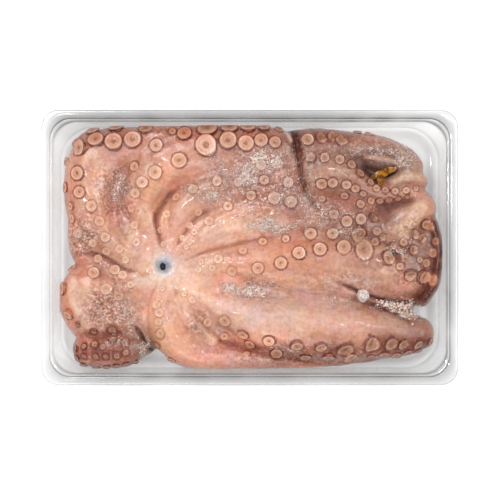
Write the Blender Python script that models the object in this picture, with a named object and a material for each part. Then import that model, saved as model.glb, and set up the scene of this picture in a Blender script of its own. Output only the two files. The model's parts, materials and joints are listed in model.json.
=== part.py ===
"""A whole octopus, mouth up with its arms folded round it, packed in a clear thermoformed tray.

Metres, +Z up. The origin is on the table under the middle of the tray, with +X along its long side.
Places on the octopus are given in plan units, seen from above: x to the right and y towards the
viewer, on a grid of 500. Heights are in millimetres above the table.
"""

import math

import bmesh
import bpy
import numpy as np
from mathutils import Vector
from mathutils.bvhtree import BVHTree

MM = 0.001

# Tray, in metres
TRAY_LENGTH = 0.300
TRAY_WIDTH = 0.198
TRAY_HEIGHT = 0.050
PLASTIC = 0.0007
RIM_WIDTH = 0.0062
SEAT_WIDTH = 0.0018
SEAT_DROP = 0.0018
LIP_DROP = 0.0030
WALL_DRAFT = 0.0014
FLOOR_FILLET = 0.006
FLOOR_EDGE = 0.004
RIM_CORNER = 0.0125
SEAT_CORNER = 0.0170
FLOOR_CORNER = 0.0250
CORNER_STEPS = 7
FILLET_STEPS = 4

# Plan grid
UNIT = 0.000725
PLAN_MIDDLE = (249.7, 247.5)

# Octopus surface
VOXEL = 0.0026
SMOOTHING_ROUNDS = 6
BODY_TRIANGLES = 2400
BODY_GAP = 0.0008
SUCKER_GAP = 0.0005
SECTION_POWER = 2.35
SECTION_SIDES = 20
TUBE_STEP = 0.0035
CAP_RINGS = 3
CURVE_STEPS = 12
FLOOR_DEPTH = -4.0

# Arms as they run out from the mouth, and the stretches that come back from under them.
# Each station is (plan x, plan y, half width in plan units, top in mm).
ARMS = {
    "top": [(160, 250, 9, 33), (151, 230, 14, 35), (140, 206, 20, 37), (146, 182, 24, 38), (166, 160, 26, 39),
            (200, 151, 28, 39.5), (235, 149, 27, 39.5), (268, 149, 25, 39), (287, 150, 20, 38)],
    "left": [(147, 260, 8, 33), (128, 254, 13, 35), (105, 238, 18, 37), (90, 214, 24, 38), (86, 188, 25, 38.5),
             (92, 163, 28, 38), (108, 149, 24, 37), (132, 144, 20, 36), (156, 143, 17, 34)],
    "lower_left": [(149, 275, 8, 33), (132, 284, 13, 35), (111, 288, 19, 37), (90, 290, 30, 38), (84, 306, 28, 37),
                   (92, 322, 25, 35), (106, 330, 22, 32)],
    "lower_left_tip": [(142, 346, 12, 30), (126, 346, 20, 34), (108, 347, 21, 35), (90, 349, 19, 34),
                       (82, 351, 15, 31)],
    "lower_left_web": [(144, 284, 10, 33), (136, 304, 15, 33), (132, 322, 17, 31), (136, 338, 14, 29)],
    "bottom": [(160, 286, 9, 33), (161, 306, 14, 35), (165, 330, 18, 36), (180, 347, 19, 36), (205, 357, 16, 34),
               (235, 360, 13, 31), (265, 362, 11, 28), (292, 363, 9, 24)],
    "lower_right": [(178, 280, 9, 33), (198, 294, 14, 35), (228, 309, 20, 37), (262, 322, 26, 39),
                    (300, 328, 31, 39.5), (340, 332, 31, 39.5), (378, 334, 27, 38), (408, 335, 23, 35),
                    (424, 335, 17, 32)],
    "right": [(181, 268, 9, 33), (208, 265, 14, 35), (240, 263, 20, 37), (280, 265, 27, 39), (320, 265, 32, 39.5),
              (358, 266, 34, 39.5), (392, 267, 33, 39), (412, 266, 30, 37)],
    "upper_right": [(178, 252, 9, 33), (198, 238, 14, 35), (226, 222, 21, 37), (258, 213, 26, 38.5),
                    (292, 211, 27, 39), (325, 213, 25, 38), (352, 220, 22, 36.5), (374, 226, 17, 34)],
    "upper": [(167, 250, 8, 33), (173, 230, 13, 35), (184, 208, 19, 37), (208, 190, 23, 38), (238, 182, 26, 39),
              (266, 178, 27, 39.5), (285, 178, 22, 39)],
    "far_edge": [(296, 145, 18, 34), (320, 146, 20, 35), (348, 148, 19, 34), (374, 152, 18, 33), (396, 162, 17, 32),
                 (410, 174, 15, 31)],
    "far_middle": [(296, 171, 19, 34), (322, 170, 21, 35.5), (344, 175, 19, 35), (364, 185, 14, 34),
                   (388, 194, 10, 33), (412, 191, 9, 32), (422, 188, 6, 29)],
    "far_side": [(326, 204, 16, 34), (350, 206, 16, 34), (372, 212, 13, 32)],
    "right_lobe": [(372, 243, 12, 30), (388, 232, 17, 34), (405, 219, 19, 36), (420, 206, 17, 34)],
    "right_clump": [(382, 244, 14, 33), (400, 244, 17, 34), (420, 240, 16, 34), (426, 258, 14, 33)],
    "right_rim": [(432, 222, 8, 26), (436, 244, 8, 28), (436, 266, 8, 28), (431, 286, 8, 26), (422, 302, 6, 22)],
}

# Mounds: middle and half sizes in plan units, top in mm, and the power of the rounded form
UNDERSIDE = ((250, 246), (172, 108), 26, 4.0)
ORAL_DISC = ((166, 266), (52, 46), 32.5, 2.2)
MOUND_RINGS = 12
MOUND_SIDES = 48

# Grooves pressed into the skin: points in plan units, depth and half width in mm
GROOVES = {
    "top_to_left": ([(146, 259), (131, 246), (119, 228), (116, 206), (124, 182)], 2.4, 2.6),
    "top_to_upper": ([(163, 252), (158, 234), (158, 216), (166, 198), (178, 186)], 3.0, 2.4),
    "upper_to_upper_right": ([(174, 248), (184, 234), (197, 217), (214, 208)], 2.6, 2.6),
    "upper_right_to_right": ([(186, 259), (206, 254), (230, 247), (256, 240), (284, 238)], 2.6, 2.6),
    "right_to_lower_right": ([(186, 277), (214, 284), (244, 292), (280, 298), (318, 297), (350, 291)], 2.8, 4.0),
    "lower_right_to_bottom": ([(172, 283), (182, 304), (194, 328), (214, 341), (246, 350), (284, 360)], 4.0, 3.4),
    "bottom_to_lower_left": ([(157, 280), (148, 302), (147, 328), (152, 352)], 3.4, 2.2),
    "lower_left_to_left": ([(148, 272), (130, 272), (117, 264), (102, 257), (84, 250)], 3.6, 2.4),
    "fold": ([(287, 122), (297, 138), (301, 160), (303, 180), (309, 194), (319, 208)], 6.0, 2.6),
    "far_pocket": ([(352, 156), (366, 163), (382, 172), (398, 170)], 6.5, 5.0),
    "far_middle_side": ([(376, 209), (388, 206), (404, 202), (420, 197)], 4.0, 2.6),
    "tip_side": ([(133, 328), (142, 342), (150, 354)], 3.0, 2.0),
    "tip_top": ([(78, 333), (96, 337), (112, 334), (124, 334)], 3.0, 2.4),
    "mouth": ([(160, 271), (162, 267), (164, 262)], 2.4, 4.2),
}

# Rows of suckers: how many lie along each, and its points as (plan x, plan y, radius in plan units)
SUCKER_ROWS = {
    "top_inner": (12, [(136, 242, 4.4), (131, 208, 4.4), (142, 182, 6.4), (178, 161, 8.2), (206, 145, 11.2),
                       (230, 140, 9.4), (275, 142, 6.8)]),
    "top_outer": (8, [(133, 165, 5.2), (157, 145, 7.4), (185, 133, 8), (207, 127, 10.5), (229, 127, 9.2),
                      (278, 129, 6)]),
    "left_inner": (11, [(126, 262, 4.4), (105, 237, 5.4), (91, 206, 6.2), (78, 182, 7.2), (79, 150, 8.8),
                        (95, 138, 9.3), (132, 139, 9)]),
    "left_outer": (9, [(105, 251, 4.8), (77, 233, 6), (66, 196, 6.6), (63, 162, 7), (76, 137, 7.4),
                       (120, 127, 8), (153, 129, 7.8)]),
    "lower_left_near": (7, [(124, 275, 4.4), (93, 274, 6), (70, 270, 6.2), (61, 289, 6.2), (66, 315, 6),
                            (78, 326, 4.4)]),
    "lower_left_far": (3, [(132, 284, 4), (119, 295, 5), (106, 289, 5.4)]),
    "tip_ridge": (2, [(94, 331, 5), (111, 330, 5.4)]),
    "tip_upper": (5, [(84, 347, 4.2), (104, 347, 4.4), (113, 341, 4.8), (124, 343, 4.8)]),
    "tip_lower": (5, [(84, 357, 4.2), (105, 358, 4.2), (126, 354, 4.8)]),
    "tip_edge": (8, [(74, 350, 3.8), (78, 364, 4), (98, 368, 4.2), (134, 364, 3.6)]),
    "bottom_row": (7, [(162, 290, 2.8), (155, 305, 3.5), (159, 325, 4.6), (158, 347, 5), (171, 361, 5.2)]),
    "lower_right_inner": (15, [(176, 286, 2.6), (190, 300, 4), (206, 306, 5.2), (225, 321, 5.8),
                               (269, 341, 6.4), (319, 349, 7), (346, 348, 8.6), (371, 345, 8), (404, 346, 6.2),
                               (431, 343, 4.6)]),
    "lower_right_outer": (11, [(196, 313, 3.4), (207, 324, 4.6), (249, 346, 6), (278, 354, 6.6),
                               (329, 358, 6.6), (352, 357, 6.4), (392, 356, 4.6), (423, 351, 4.2)]),
    "right_upper": (9, [(200, 262, 3.8), (243, 251, 5.6), (264, 243, 5.6), (310, 235, 6.2), (333, 234, 6.6),
                        (360, 233, 8.6), (379, 230, 5.6)]),
    "right_lower": (13, [(186, 269, 3), (206, 268, 4), (232, 271, 5.6), (258, 268, 6.6), (299, 254, 7.3),
                         (343, 247, 8), (363, 248, 9), (387, 258, 7.2), (411, 274, 6.8), (425, 277, 6)]),
    "upper_right_near": (6, [(186, 247, 3), (192, 234, 3.8), (208, 221, 5.2), (228, 206, 5.2), (272, 197, 6),
                             (288, 203, 6.2)]),
    "upper_right_far": (3, [(333, 214, 5.8), (346, 221, 6.3), (366, 219, 6.2)]),
    "upper_left_side": (8, [(163, 244, 3.2), (159, 232, 3.8), (166, 214, 4.4), (176, 197, 4.8),
                            (194, 188, 5.8), (240, 184, 5.4), (264, 180, 5.6)]),
    "upper_right_side": (3, [(182, 238, 3), (191, 222, 4.2), (198, 212, 4.2)]),
    "far_edge_big": (4, [(308, 139, 6.8), (342, 140, 6)]),
    "far_edge_small": (5, [(353, 131, 4), (376, 134, 3.6), (392, 143, 3.2)]),
    "far_middle_upper": (11, [(309, 157, 5.2), (339, 159, 5.8), (361, 174, 5.2), (376, 189, 4.6),
                              (396, 191, 4.4), (417, 188, 3.6)]),
    "far_middle_lower": (9, [(321, 183, 6.3), (346, 186, 5.4), (363, 195, 4.6), (381, 200, 4.2),
                             (401, 199, 3.4)]),
    "far_side_row": (3, [(325, 197, 5.4), (345, 197, 5.2), (362, 205, 4.8)]),
    "clump_low": (4, [(374, 241, 4.4), (402, 253, 4.4), (416, 259, 3.8)]),
    "clump_high": (3, [(404, 242, 4.8), (413, 232, 4.8), (427, 223, 4.4)]),
    "clump_side": (4, [(420, 267, 4), (427, 261, 5), (434, 243, 4.2)]),
}
# Sides of a sucker by its least radius in plan units
SUCKER_SIDES = ((6.6, 8), (5.4, 7), (4.2, 6), (0.0, 5))
SMALLEST_SUCKER = 3.3
LIPPED_RADIUS = 4.6
SUCKER_RISE = 0.28
SUCKER_RISE_MM = 0.5
SUCKER_SUNK_MM = 2.4
SUCKER_CUP = 0.3
STEEPEST_SUCKER = 0.55
CROWDING = 1.12
LEAST_SHRINK = 0.62

# Mouth and ice, in mm but for their plan places
MOUTH = (162, 267)
BEAK_HALF = (2.1, 3.4, 3.6)
BEAK_TURN = math.radians(-20)
BEAK_RISE = -1.4
BEAK_GAP = 0.35
ICE = (364, 295)
ICE_HALF = (4.8, 4.5, 4.2)
ICE_RISE = 1.6
ICE_GAP = 0.35
ICE_UNEVEN = 0.06


def place(plan_x, plan_y, height_mm=0.0):
    """A plan point at a height in mm, as metres."""
    return Vector(((plan_x - PLAN_MIDDLE[0]) * UNIT, (PLAN_MIDDLE[1] - plan_y) * UNIT, height_mm * MM))


def clear_scene():
    for obj in list(bpy.data.objects):
        bpy.data.objects.remove(obj, do_unlink=True)


def make_material(name, colour, roughness, alpha=1.0):
    made = bpy.data.materials.new(name)
    made.use_nodes = True
    shader = made.node_tree.nodes["Principled BSDF"]
    shader.inputs["Base Color"].default_value = (*colour, 1.0)
    shader.inputs["Roughness"].default_value = roughness
    shader.inputs["Metallic"].default_value = 0.0
    shader.inputs["Alpha"].default_value = alpha
    return made


def add_object(name, bm, material=None, collection=None):
    """An object made from a bmesh, with its faces turned outwards."""
    bmesh.ops.recalc_face_normals(bm, faces=bm.faces[:])
    mesh = bpy.data.meshes.new(name)
    bm.to_mesh(mesh)
    bm.free()
    if material:
        mesh.materials.append(material)
    obj = bpy.data.objects.new(name, mesh)
    (collection or bpy.context.scene.collection).objects.link(obj)
    return obj


def apply_modifiers(obj):
    graph = bpy.context.evaluated_depsgraph_get()
    shaped = bpy.data.meshes.new_from_object(obj.evaluated_get(graph), depsgraph=graph)
    obj.modifiers.clear()
    obj.data = shaped


def loft(bm, rings, tip=None):
    """A closed skin through rings of points, capped flat at its ends or drawn to a tip at the last."""
    loops = [[bm.verts.new(point) for point in ring] for ring in rings]
    for lower, upper in zip(loops, loops[1:]):
        for index in range(len(lower)):
            after = (index + 1) % len(lower)
            bm.faces.new((lower[index], lower[after], upper[after], upper[index]))
    bm.faces.new(loops[0])
    if tip is None:
        bm.faces.new(loops[-1])
        return
    point = bm.verts.new(tip)
    for index, vertex in enumerate(loops[-1]):
        bm.faces.new((vertex, loops[-1][(index + 1) % len(loops[-1])], point))


def smooth_curve(points):
    """Close samples of a smooth curve through points with any number of columns."""
    knots = np.array(points, dtype=float)
    padded = np.vstack([2 * knots[0] - knots[1], knots, 2 * knots[-1] - knots[-2]])
    samples = []
    for index in range(len(knots) - 1):
        before, start, end, after = padded[index:index + 4]
        for step in range(CURVE_STEPS):
            t = step / CURVE_STEPS
            bend = 2 * before - 5 * start + 4 * end - after
            swing = 3 * start - before - 3 * end + after
            samples.append(start + 0.5 * ((end - before) * t + bend * t ** 2 + swing * t ** 3))
    samples.append(knots[-1])
    return np.array(samples)


def resample(curve, measure, count):
    """Samples at equal steps of a measure that grows along the curve."""
    targets = np.linspace(0.0, measure[-1], count)
    return np.column_stack([np.interp(targets, measure, column) for column in curve.T])


def plan_length(curve):
    steps = np.linalg.norm(np.diff(curve[:, :2], axis=0), axis=1)
    return np.concatenate([[0.0], np.cumsum(steps)])


# Tray


def inner_profile():
    """The tray's inner face from floor to rim: inset from the rim's edge, height, corner radius."""
    wall_top = RIM_WIDTH + SEAT_WIDTH + 0.5 * MM
    wall_foot = wall_top + WALL_DRAFT
    edge = FLOOR_FILLET + FLOOR_EDGE
    stations = [(wall_foot + edge, PLASTIC, FLOOR_CORNER - edge)]
    for step in range(FILLET_STEPS + 1):
        angle = 0.5 * math.pi * step / FILLET_STEPS
        inward = FLOOR_FILLET * (1 - math.sin(angle))
        height = PLASTIC + FLOOR_FILLET * (1 - math.cos(angle))
        stations.append((wall_foot + inward, height, FLOOR_CORNER - inward))
    seat = TRAY_HEIGHT - SEAT_DROP
    stations.append((wall_top, seat - 1.8 * MM, SEAT_CORNER))
    stations.append((RIM_WIDTH + SEAT_WIDTH, seat, SEAT_CORNER))
    stations.append((RIM_WIDTH + 0.4 * MM, seat + 0.2 * MM, SEAT_CORNER - SEAT_WIDTH))
    stations.append((RIM_WIDTH, TRAY_HEIGHT, SEAT_CORNER - SEAT_WIDTH))
    return stations


def rim_profile():
    """The rim's top from its inner edge outwards, with the lip that turns down."""
    return [(0.6 * MM, TRAY_HEIGHT, RIM_CORNER - 0.6 * MM),
            (0.0, TRAY_HEIGHT - 0.6 * MM, RIM_CORNER),
            (0.0, TRAY_HEIGHT - LIP_DROP, RIM_CORNER)]


def offset_profile(stations, distance):
    """The profile moved a distance to its outer side."""
    points = np.array(stations)
    steps = np.diff(points[:, :2], axis=0)
    steps /= np.linalg.norm(steps, axis=1)[:, None]
    sides = np.column_stack([-steps[:, 1], steps[:, 0]])
    before = np.vstack([sides[0], sides])
    after = np.vstack([sides, sides[-1]])
    miter = (before + after) / (1 + np.sum(before * after, axis=1))[:, None]
    moved = points.copy()
    moved[:, :2] += miter * distance
    moved[:, 2] -= miter[:, 0] * distance
    return moved.tolist()


def tray_ring(inset, height, radius):
    """A rounded rectangle at an inset from the rim's edge."""
    half_x = TRAY_LENGTH / 2 - inset
    half_y = TRAY_WIDTH / 2 - inset
    ring = []
    for corner, (side_x, side_y) in enumerate(((1, 1), (-1, 1), (-1, -1), (1, -1))):
        for step in range(CORNER_STEPS + 1):
            angle = 0.5 * math.pi * (corner + step / CORNER_STEPS)
            ring.append((side_x * (half_x - radius) + radius * math.cos(angle),
                         side_y * (half_y - radius) + radius * math.sin(angle), height))
    return ring


def build_tray(material):
    inner = inner_profile() + rim_profile()
    outer = offset_profile(inner, PLASTIC)
    bm = bmesh.new()
    loft(bm, [tray_ring(*station) for station in inner + outer[::-1]])
    tray = add_object("tray", bm, material)
    tray.data.shade_smooth()
    tray.data.set_sharp_from_angle(angle=math.radians(40))


def keep_in_tray(points, gap):
    """Points that would pass the tray's inner face, moved back to a gap clear of it."""
    insets, heights, radii = np.array(inner_profile()).T
    kept = points.copy()
    kept[:, 2] = np.maximum(points[:, 2], PLASTIC + gap)
    inset = np.interp(kept[:, 2], heights, insets) + gap
    radius = np.interp(kept[:, 2], heights, radii) - gap
    corner = np.column_stack([TRAY_LENGTH / 2 - inset - radius, TRAY_WIDTH / 2 - inset - radius])
    plan = np.abs(points[:, :2])
    beyond = np.maximum(plan - corner, 0.0)
    reach = np.maximum(np.linalg.norm(beyond, axis=1), 1e-9)
    held = corner + beyond * np.minimum(1.0, radius / reach)[:, None]
    kept[:, :2] = np.copysign(np.where(plan > corner, held, plan), points[:, :2])
    return kept


# Octopus body


def rounded(value, power):
    """A cosine or sine bent towards a rounded square."""
    return math.copysign(abs(value) ** (2 / power), value)


def add_tube(bm, stations):
    """An arm: a full rounded section carried along its stations, with domed ends."""
    curve = smooth_curve(stations)
    length = plan_length(curve)
    run = resample(curve, length, max(3, round(length[-1] * UNIT / TUBE_STEP)))
    middles = [place(x, y) for x, y, half, top in run]
    rings = []
    for index, (x, y, half, top) in enumerate(run):
        along = (middles[min(index + 1, len(run) - 1)] - middles[max(index - 1, 0)]).normalized()
        rings.append((middles[index], along, half * UNIT, top, 1.0))
    for end, direction in ((rings[0], -1), (rings[-1], 1)):
        middle, along, half, top, _ = end
        domes = []
        for step in range(1, CAP_RINGS + 1):
            angle = 0.46 * math.pi * step / CAP_RINGS
            domes.append((middle + along * direction * half * 0.8 * math.sin(angle), along, half, top,
                          math.cos(angle)))
        rings = rings + domes if direction > 0 else domes[::-1] + rings
    skins = []
    for middle, along, half, top, shrink in rings:
        side = Vector((along.y, -along.x, 0))
        centre = (top + FLOOR_DEPTH) / 2 * MM
        rise = (top - FLOOR_DEPTH) / 2 * MM * shrink
        skin = []
        for index in range(SECTION_SIDES):
            angle = 2 * math.pi * index / SECTION_SIDES
            across = half * shrink * rounded(math.cos(angle), SECTION_POWER)
            up = centre + rise * rounded(math.sin(angle), SECTION_POWER)
            skin.append(middle + side * across + Vector((0, 0, up)))
        skins.append(skin)
    loft(bm, skins)


def add_mound(bm, middle, half, top, power):
    centre = (top + FLOOR_DEPTH) / 2
    rise = (top - FLOOR_DEPTH) / 2
    rings = []
    for level in range(MOUND_RINGS + 1):
        tilt = math.pi * ((level + 0.3) / (MOUND_RINGS + 0.6) - 0.5)
        height = centre + rise * rounded(math.sin(tilt), power)
        spread = rounded(math.cos(tilt), power)
        ring = []
        for index in range(MOUND_SIDES):
            angle = 2 * math.pi * index / MOUND_SIDES
            ring.append(place(middle[0] + half[0] * spread * rounded(math.cos(angle), power),
                              middle[1] + half[1] * spread * rounded(math.sin(angle), power), height))
        rings.append(ring)
    loft(bm, rings)


def read_points(mesh):
    flat = np.empty(len(mesh.vertices) * 3)
    mesh.vertices.foreach_get("co", flat)
    return flat.reshape(-1, 3)


def write_points(mesh, points):
    mesh.vertices.foreach_set("co", points.ravel())
    mesh.update()


def distance_to_line(points, line):
    """Least plan distance from each point to a run of points, and the share of the way along it."""
    best = np.full(len(points), np.inf)
    share = np.zeros(len(points))
    for index, (start, end) in enumerate(zip(line, line[1:])):
        step = end - start
        t = np.clip(((points - start) @ step) / (step @ step), 0.0, 1.0)
        gap = np.linalg.norm(points - start - t[:, None] * step, axis=1)
        nearer = gap < best
        best[nearer] = gap[nearer]
        share[nearer] = (index + t[nearer]) / (len(line) - 1)
    return best, share


def press_grooves(points):
    """Lower the skin along each groove, less towards the groove's ends."""
    pressed = points.copy()
    for line, depth, half in GROOVES.values():
        curve = smooth_curve(line)
        metres = np.array([place(x, y)[:2] for x, y in curve])
        gap, share = distance_to_line(points[:, :2], metres)
        fade = np.clip(6 * share, 0.3, 1.0) * np.clip(6 * (1 - share), 0.3, 1.0)
        upper = np.clip((points[:, 2] / MM - 12) / 8, 0.0, 1.0)
        pressed[:, 2] -= depth * MM * fade * upper * np.exp(-(gap / (half * MM)) ** 2)
    return pressed


def build_body(material):
    """The arms, web and underside as one skin, settled into the tray."""
    bm = bmesh.new()
    for stations in ARMS.values():
        add_tube(bm, stations)
    add_mound(bm, *UNDERSIDE)
    add_mound(bm, *ORAL_DISC)
    body = add_object("octopus", bm)
    skin = body.modifiers.new("Skin", "REMESH")
    skin.mode = "VOXEL"
    skin.voxel_size = VOXEL
    settle = body.modifiers.new("Settle", "SMOOTH")
    settle.factor = 0.5
    settle.iterations = SMOOTHING_ROUNDS
    apply_modifiers(body)
    points = press_grooves(read_points(body.data))
    write_points(body.data, keep_in_tray(points, BODY_GAP))
    body.data.materials.clear()
    body.data.materials.append(material)
    return body


def simplify(body):
    triangles = sum(len(polygon.vertices) - 2 for polygon in body.data.polygons)
    fewer = body.modifiers.new("Fewer", "DECIMATE")
    fewer.ratio = BODY_TRIANGLES / triangles
    fewer.use_collapse_triangulate = True
    apply_modifiers(body)


# Suckers


def surface_tree(mesh):
    return BVHTree.FromPolygons([vertex.co for vertex in mesh.vertices],
                                [polygon.vertices for polygon in mesh.polygons])


def surface_at(tree, plan_x, plan_y, spread):
    """The highest skin over a plan point, and its mean normal over a spread in plan units."""
    middle = None
    normal = Vector((0, 0, 0))
    for turn in range(5):
        reach = spread if turn else 0.0
        angle = 0.5 * math.pi * turn
        start = place(plan_x + reach * math.cos(angle), plan_y + reach * math.sin(angle), TRAY_HEIGHT / MM)
        hit, facing, _, _ = tree.ray_cast(start, Vector((0, 0, -1)))
        if hit is None:
            continue
        normal += facing
        if middle is None:
            middle = hit
    return middle, normal.normalized()


def sucker_places():
    """Every sucker as (plan x, plan y, radius), spaced along its row by its size."""
    kept = []
    for count, points in SUCKER_ROWS.values():
        curve = smooth_curve(points)
        length = plan_length(curve)
        mean_radius = (curve[1:, 2] + curve[:-1, 2]) / 2
        measure = np.concatenate([[0.0], np.cumsum(np.diff(length) / mean_radius)])
        for x, y, radius in resample(curve, measure, count):
            room = min((CROWDING * math.hypot(x - other[0], y - other[1]) - other[2] for other in kept),
                       default=radius)
            if radius > SMALLEST_SUCKER and room > LEAST_SHRINK * radius:
                kept.append((x, y, min(radius, room)))
    return kept


def add_sucker(bm, middle, axis, radius, plan_radius):
    """One sucker, from its root in the skin over its lip to the bottom of its cup."""
    sides = next(count for least, count in SUCKER_SIDES if plan_radius >= least)
    across = axis.orthogonal().normalized()
    beside = axis.cross(across)
    rise = SUCKER_RISE * radius + SUCKER_RISE_MM * MM
    levels = [(0.66, -SUCKER_SUNK_MM * MM), (0.96, 0.9 * rise)]
    if plan_radius >= LIPPED_RADIUS:
        levels = [(0.62, -SUCKER_SUNK_MM * MM), (1.0, 0.62 * rise), (0.8, rise)]
    rings = []
    for share, height in levels:
        ring = []
        for index in range(sides):
            angle = 2 * math.pi * index / sides
            ring.append(middle + axis * height
                        + (across * math.cos(angle) + beside * math.sin(angle)) * radius * share)
        rings.append(keep_in_tray(np.array(ring), SUCKER_GAP))
    cup = np.array([middle + axis * (SUCKER_CUP * rise)])
    loft(bm, rings, keep_in_tray(cup, SUCKER_GAP)[0])


def add_suckers(body, tree, material):
    """Join the suckers to the body by one union."""
    suckers = bpy.data.collections.new("Suckers")
    bpy.context.scene.collection.children.link(suckers)
    for index, (x, y, radius) in enumerate(sucker_places()):
        middle, normal = surface_at(tree, x, y, 0.6 * radius)
        if normal.z < STEEPEST_SUCKER:
            flat = Vector((normal.x, normal.y, 0)).normalized() * math.sqrt(1 - STEEPEST_SUCKER ** 2)
            normal = Vector((flat.x, flat.y, STEEPEST_SUCKER))
        bm = bmesh.new()
        add_sucker(bm, middle, normal, radius * UNIT, radius)
        add_object(f"sucker_{index}", bm, material, suckers)
    union = body.modifiers.new("Union", "BOOLEAN")
    union.operation = "UNION"
    union.operand_type = "COLLECTION"
    union.collection = suckers
    union.solver = "EXACT"
    apply_modifiers(body)
    for obj in list(suckers.objects):
        bpy.data.objects.remove(obj, do_unlink=True)
    bpy.data.collections.remove(suckers)


# Beak and ice


def uneven(direction):
    """A slow unevenness of a lump's radius, by direction."""
    return 1 + ICE_UNEVEN * (math.sin(3.1 * direction.x + 1.0) + math.sin(3.7 * direction.y - 2.0 * direction.z))


def lump(name, middle, half_mm, turn, swell_mm, shape, material):
    """A small rounded piece, or with a swell the pocket that it lies in."""
    bm = bmesh.new()
    bmesh.ops.create_icosphere(bm, subdivisions=2, radius=1.0)
    for vertex in bm.verts:
        direction = vertex.co.copy()
        x, y, z = (direction[axis] * half_mm[axis] * shape(direction) + direction[axis] * swell_mm
                   for axis in range(3))
        vertex.co = middle + Vector((x * math.cos(turn) - y * math.sin(turn),
                                     x * math.sin(turn) + y * math.cos(turn), z)) * MM
    return add_object(name, bm, material)


def beak_shape(direction):
    """The beak narrows to a ridge at its top."""
    return 1 - 0.22 * max(direction.z, 0.0)


def cut_pocket(body, cutter):
    cut = body.modifiers.new("Pocket", "BOOLEAN")
    cut.operation = "DIFFERENCE"
    cut.object = cutter
    cut.solver = "EXACT"
    apply_modifiers(body)
    bpy.data.objects.remove(cutter, do_unlink=True)


def set_piece(body, tree, name, plan, half_mm, rise_mm, turn, gap_mm, shape, material):
    """Set a small piece into the skin, in a pocket a gap larger than it."""
    middle, _ = surface_at(tree, *plan, 1.0)
    middle = middle + Vector((0, 0, rise_mm * MM))
    cut_pocket(body, lump("pocket", middle, half_mm, turn, gap_mm, shape, None))
    piece = lump(name, middle, half_mm, turn, 0.0, shape, material)
    piece.data.shade_smooth()


def main():
    clear_scene()
    clear_plastic = make_material("clear_plastic", (0.93, 0.94, 0.95), 0.08, 0.25)
    flesh = make_material("octopus_flesh", (0.72, 0.40, 0.28), 0.42)
    beak_black = make_material("beak_black", (0.012, 0.012, 0.014), 0.3)
    frost = make_material("frosted_ice", (0.80, 0.78, 0.76), 0.6)
    build_tray(clear_plastic)
    body = build_body(flesh)
    tree = surface_tree(body.data)
    simplify(body)
    add_suckers(body, tree, flesh)
    set_piece(body, tree, "beak", MOUTH, BEAK_HALF, BEAK_RISE, BEAK_TURN, BEAK_GAP, beak_shape, beak_black)
    set_piece(body, tree, "ice_lump", ICE, ICE_HALF, ICE_RISE, 0.0, ICE_GAP, uneven, frost)


main()
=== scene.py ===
"""The looks of a whole octopus, mouth up in a clear tray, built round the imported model.

Metres, +Z up. Places on the octopus are in plan units, seen from above: x to the right and y towards
the viewer, on a grid of 500. Heights are in millimetres above the table.
"""

import itertools
import json
import math

import bmesh
import bpy
import numpy as np
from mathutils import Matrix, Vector
from mathutils.bvhtree import BVHTree

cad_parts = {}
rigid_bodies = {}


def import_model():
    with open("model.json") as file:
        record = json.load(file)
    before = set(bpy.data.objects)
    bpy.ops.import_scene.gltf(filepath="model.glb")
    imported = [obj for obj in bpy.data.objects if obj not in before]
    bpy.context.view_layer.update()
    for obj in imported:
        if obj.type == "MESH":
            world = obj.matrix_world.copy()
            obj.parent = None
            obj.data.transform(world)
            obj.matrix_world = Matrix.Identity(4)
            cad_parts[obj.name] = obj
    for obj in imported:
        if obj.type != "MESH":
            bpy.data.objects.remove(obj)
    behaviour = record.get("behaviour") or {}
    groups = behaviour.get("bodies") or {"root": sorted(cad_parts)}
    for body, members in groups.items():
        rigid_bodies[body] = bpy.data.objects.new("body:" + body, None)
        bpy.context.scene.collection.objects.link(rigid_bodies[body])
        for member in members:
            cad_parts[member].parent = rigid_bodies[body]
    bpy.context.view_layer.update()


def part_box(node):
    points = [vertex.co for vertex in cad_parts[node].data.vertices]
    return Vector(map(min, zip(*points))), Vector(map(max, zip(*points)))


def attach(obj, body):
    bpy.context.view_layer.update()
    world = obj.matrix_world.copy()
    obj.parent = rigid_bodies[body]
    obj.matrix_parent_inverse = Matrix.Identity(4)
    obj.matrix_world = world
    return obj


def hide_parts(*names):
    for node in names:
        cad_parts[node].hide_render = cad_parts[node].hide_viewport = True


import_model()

MM = 0.001

# Plan grid, and the camera's height over the table
UNIT = 0.000725
PLAN_MIDDLE = (249.7, 247.5)
IMAGE_SIZE = 500
CAMERA_HEIGHT = 1.25
SENSOR = 36.0
# The rim in the picture: its length and its middle, in pixels
RIM_PIXELS = 417.5
RIM_MIDDLE = (249.75, 247.5)
# The floor and the light that fills the room
FLOOR_SIZE = 3.0
FLOOR_DROP = 0.0003
FLOOR_GLOW = 0.26
ROOM_LIGHT = 0.5
WHITE = (1.0, 1.0, 1.0, 1.0)

# Tray, from the frame
TRAY_LOW, TRAY_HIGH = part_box("tray")
TRAY_LENGTH = TRAY_HIGH.x - TRAY_LOW.x
TRAY_WIDTH = TRAY_HIGH.y - TRAY_LOW.y
TRAY_HEIGHT = TRAY_HIGH.z
PLASTIC = 0.0007
SHELL = 0.0005
RIM_WIDTH = 0.0062
SEAT_WIDTH = 0.0018
SEAT_DROP = 0.0018
LIP_DROP = 0.0030
WALL_DRAFT = 0.0014
FLOOR_FILLET = 0.006
FLOOR_EDGE = 0.004
RIM_CORNER = 0.0125
SEAT_CORNER = 0.0170
FLOOR_CORNER = 0.0250
CORNER_STEPS = 18
SIDE_STEP = 0.0025
FILLET_STEPS = 6
WALL_STEPS = 8
RIB_PITCH = 0.025
RIB_HALF = 0.0045
RIB_DEPTH = 0.0005
RIB_FOOT = 0.008
RIB_RISE = 0.006
RIB_HEAD = 0.034
RIB_FALL = 0.010
# Light let through by each face of the film at the left, right, far and near sides: rim, wall; the sides
# differ by painted shade, for how the light falls on each side
FILM_RIM = (0.945, 0.915, 0.775, 0.87)
FILM_WALL = (0.94, 0.89, 0.86, 0.87)
FILM_FLOOR = 0.965
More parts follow.
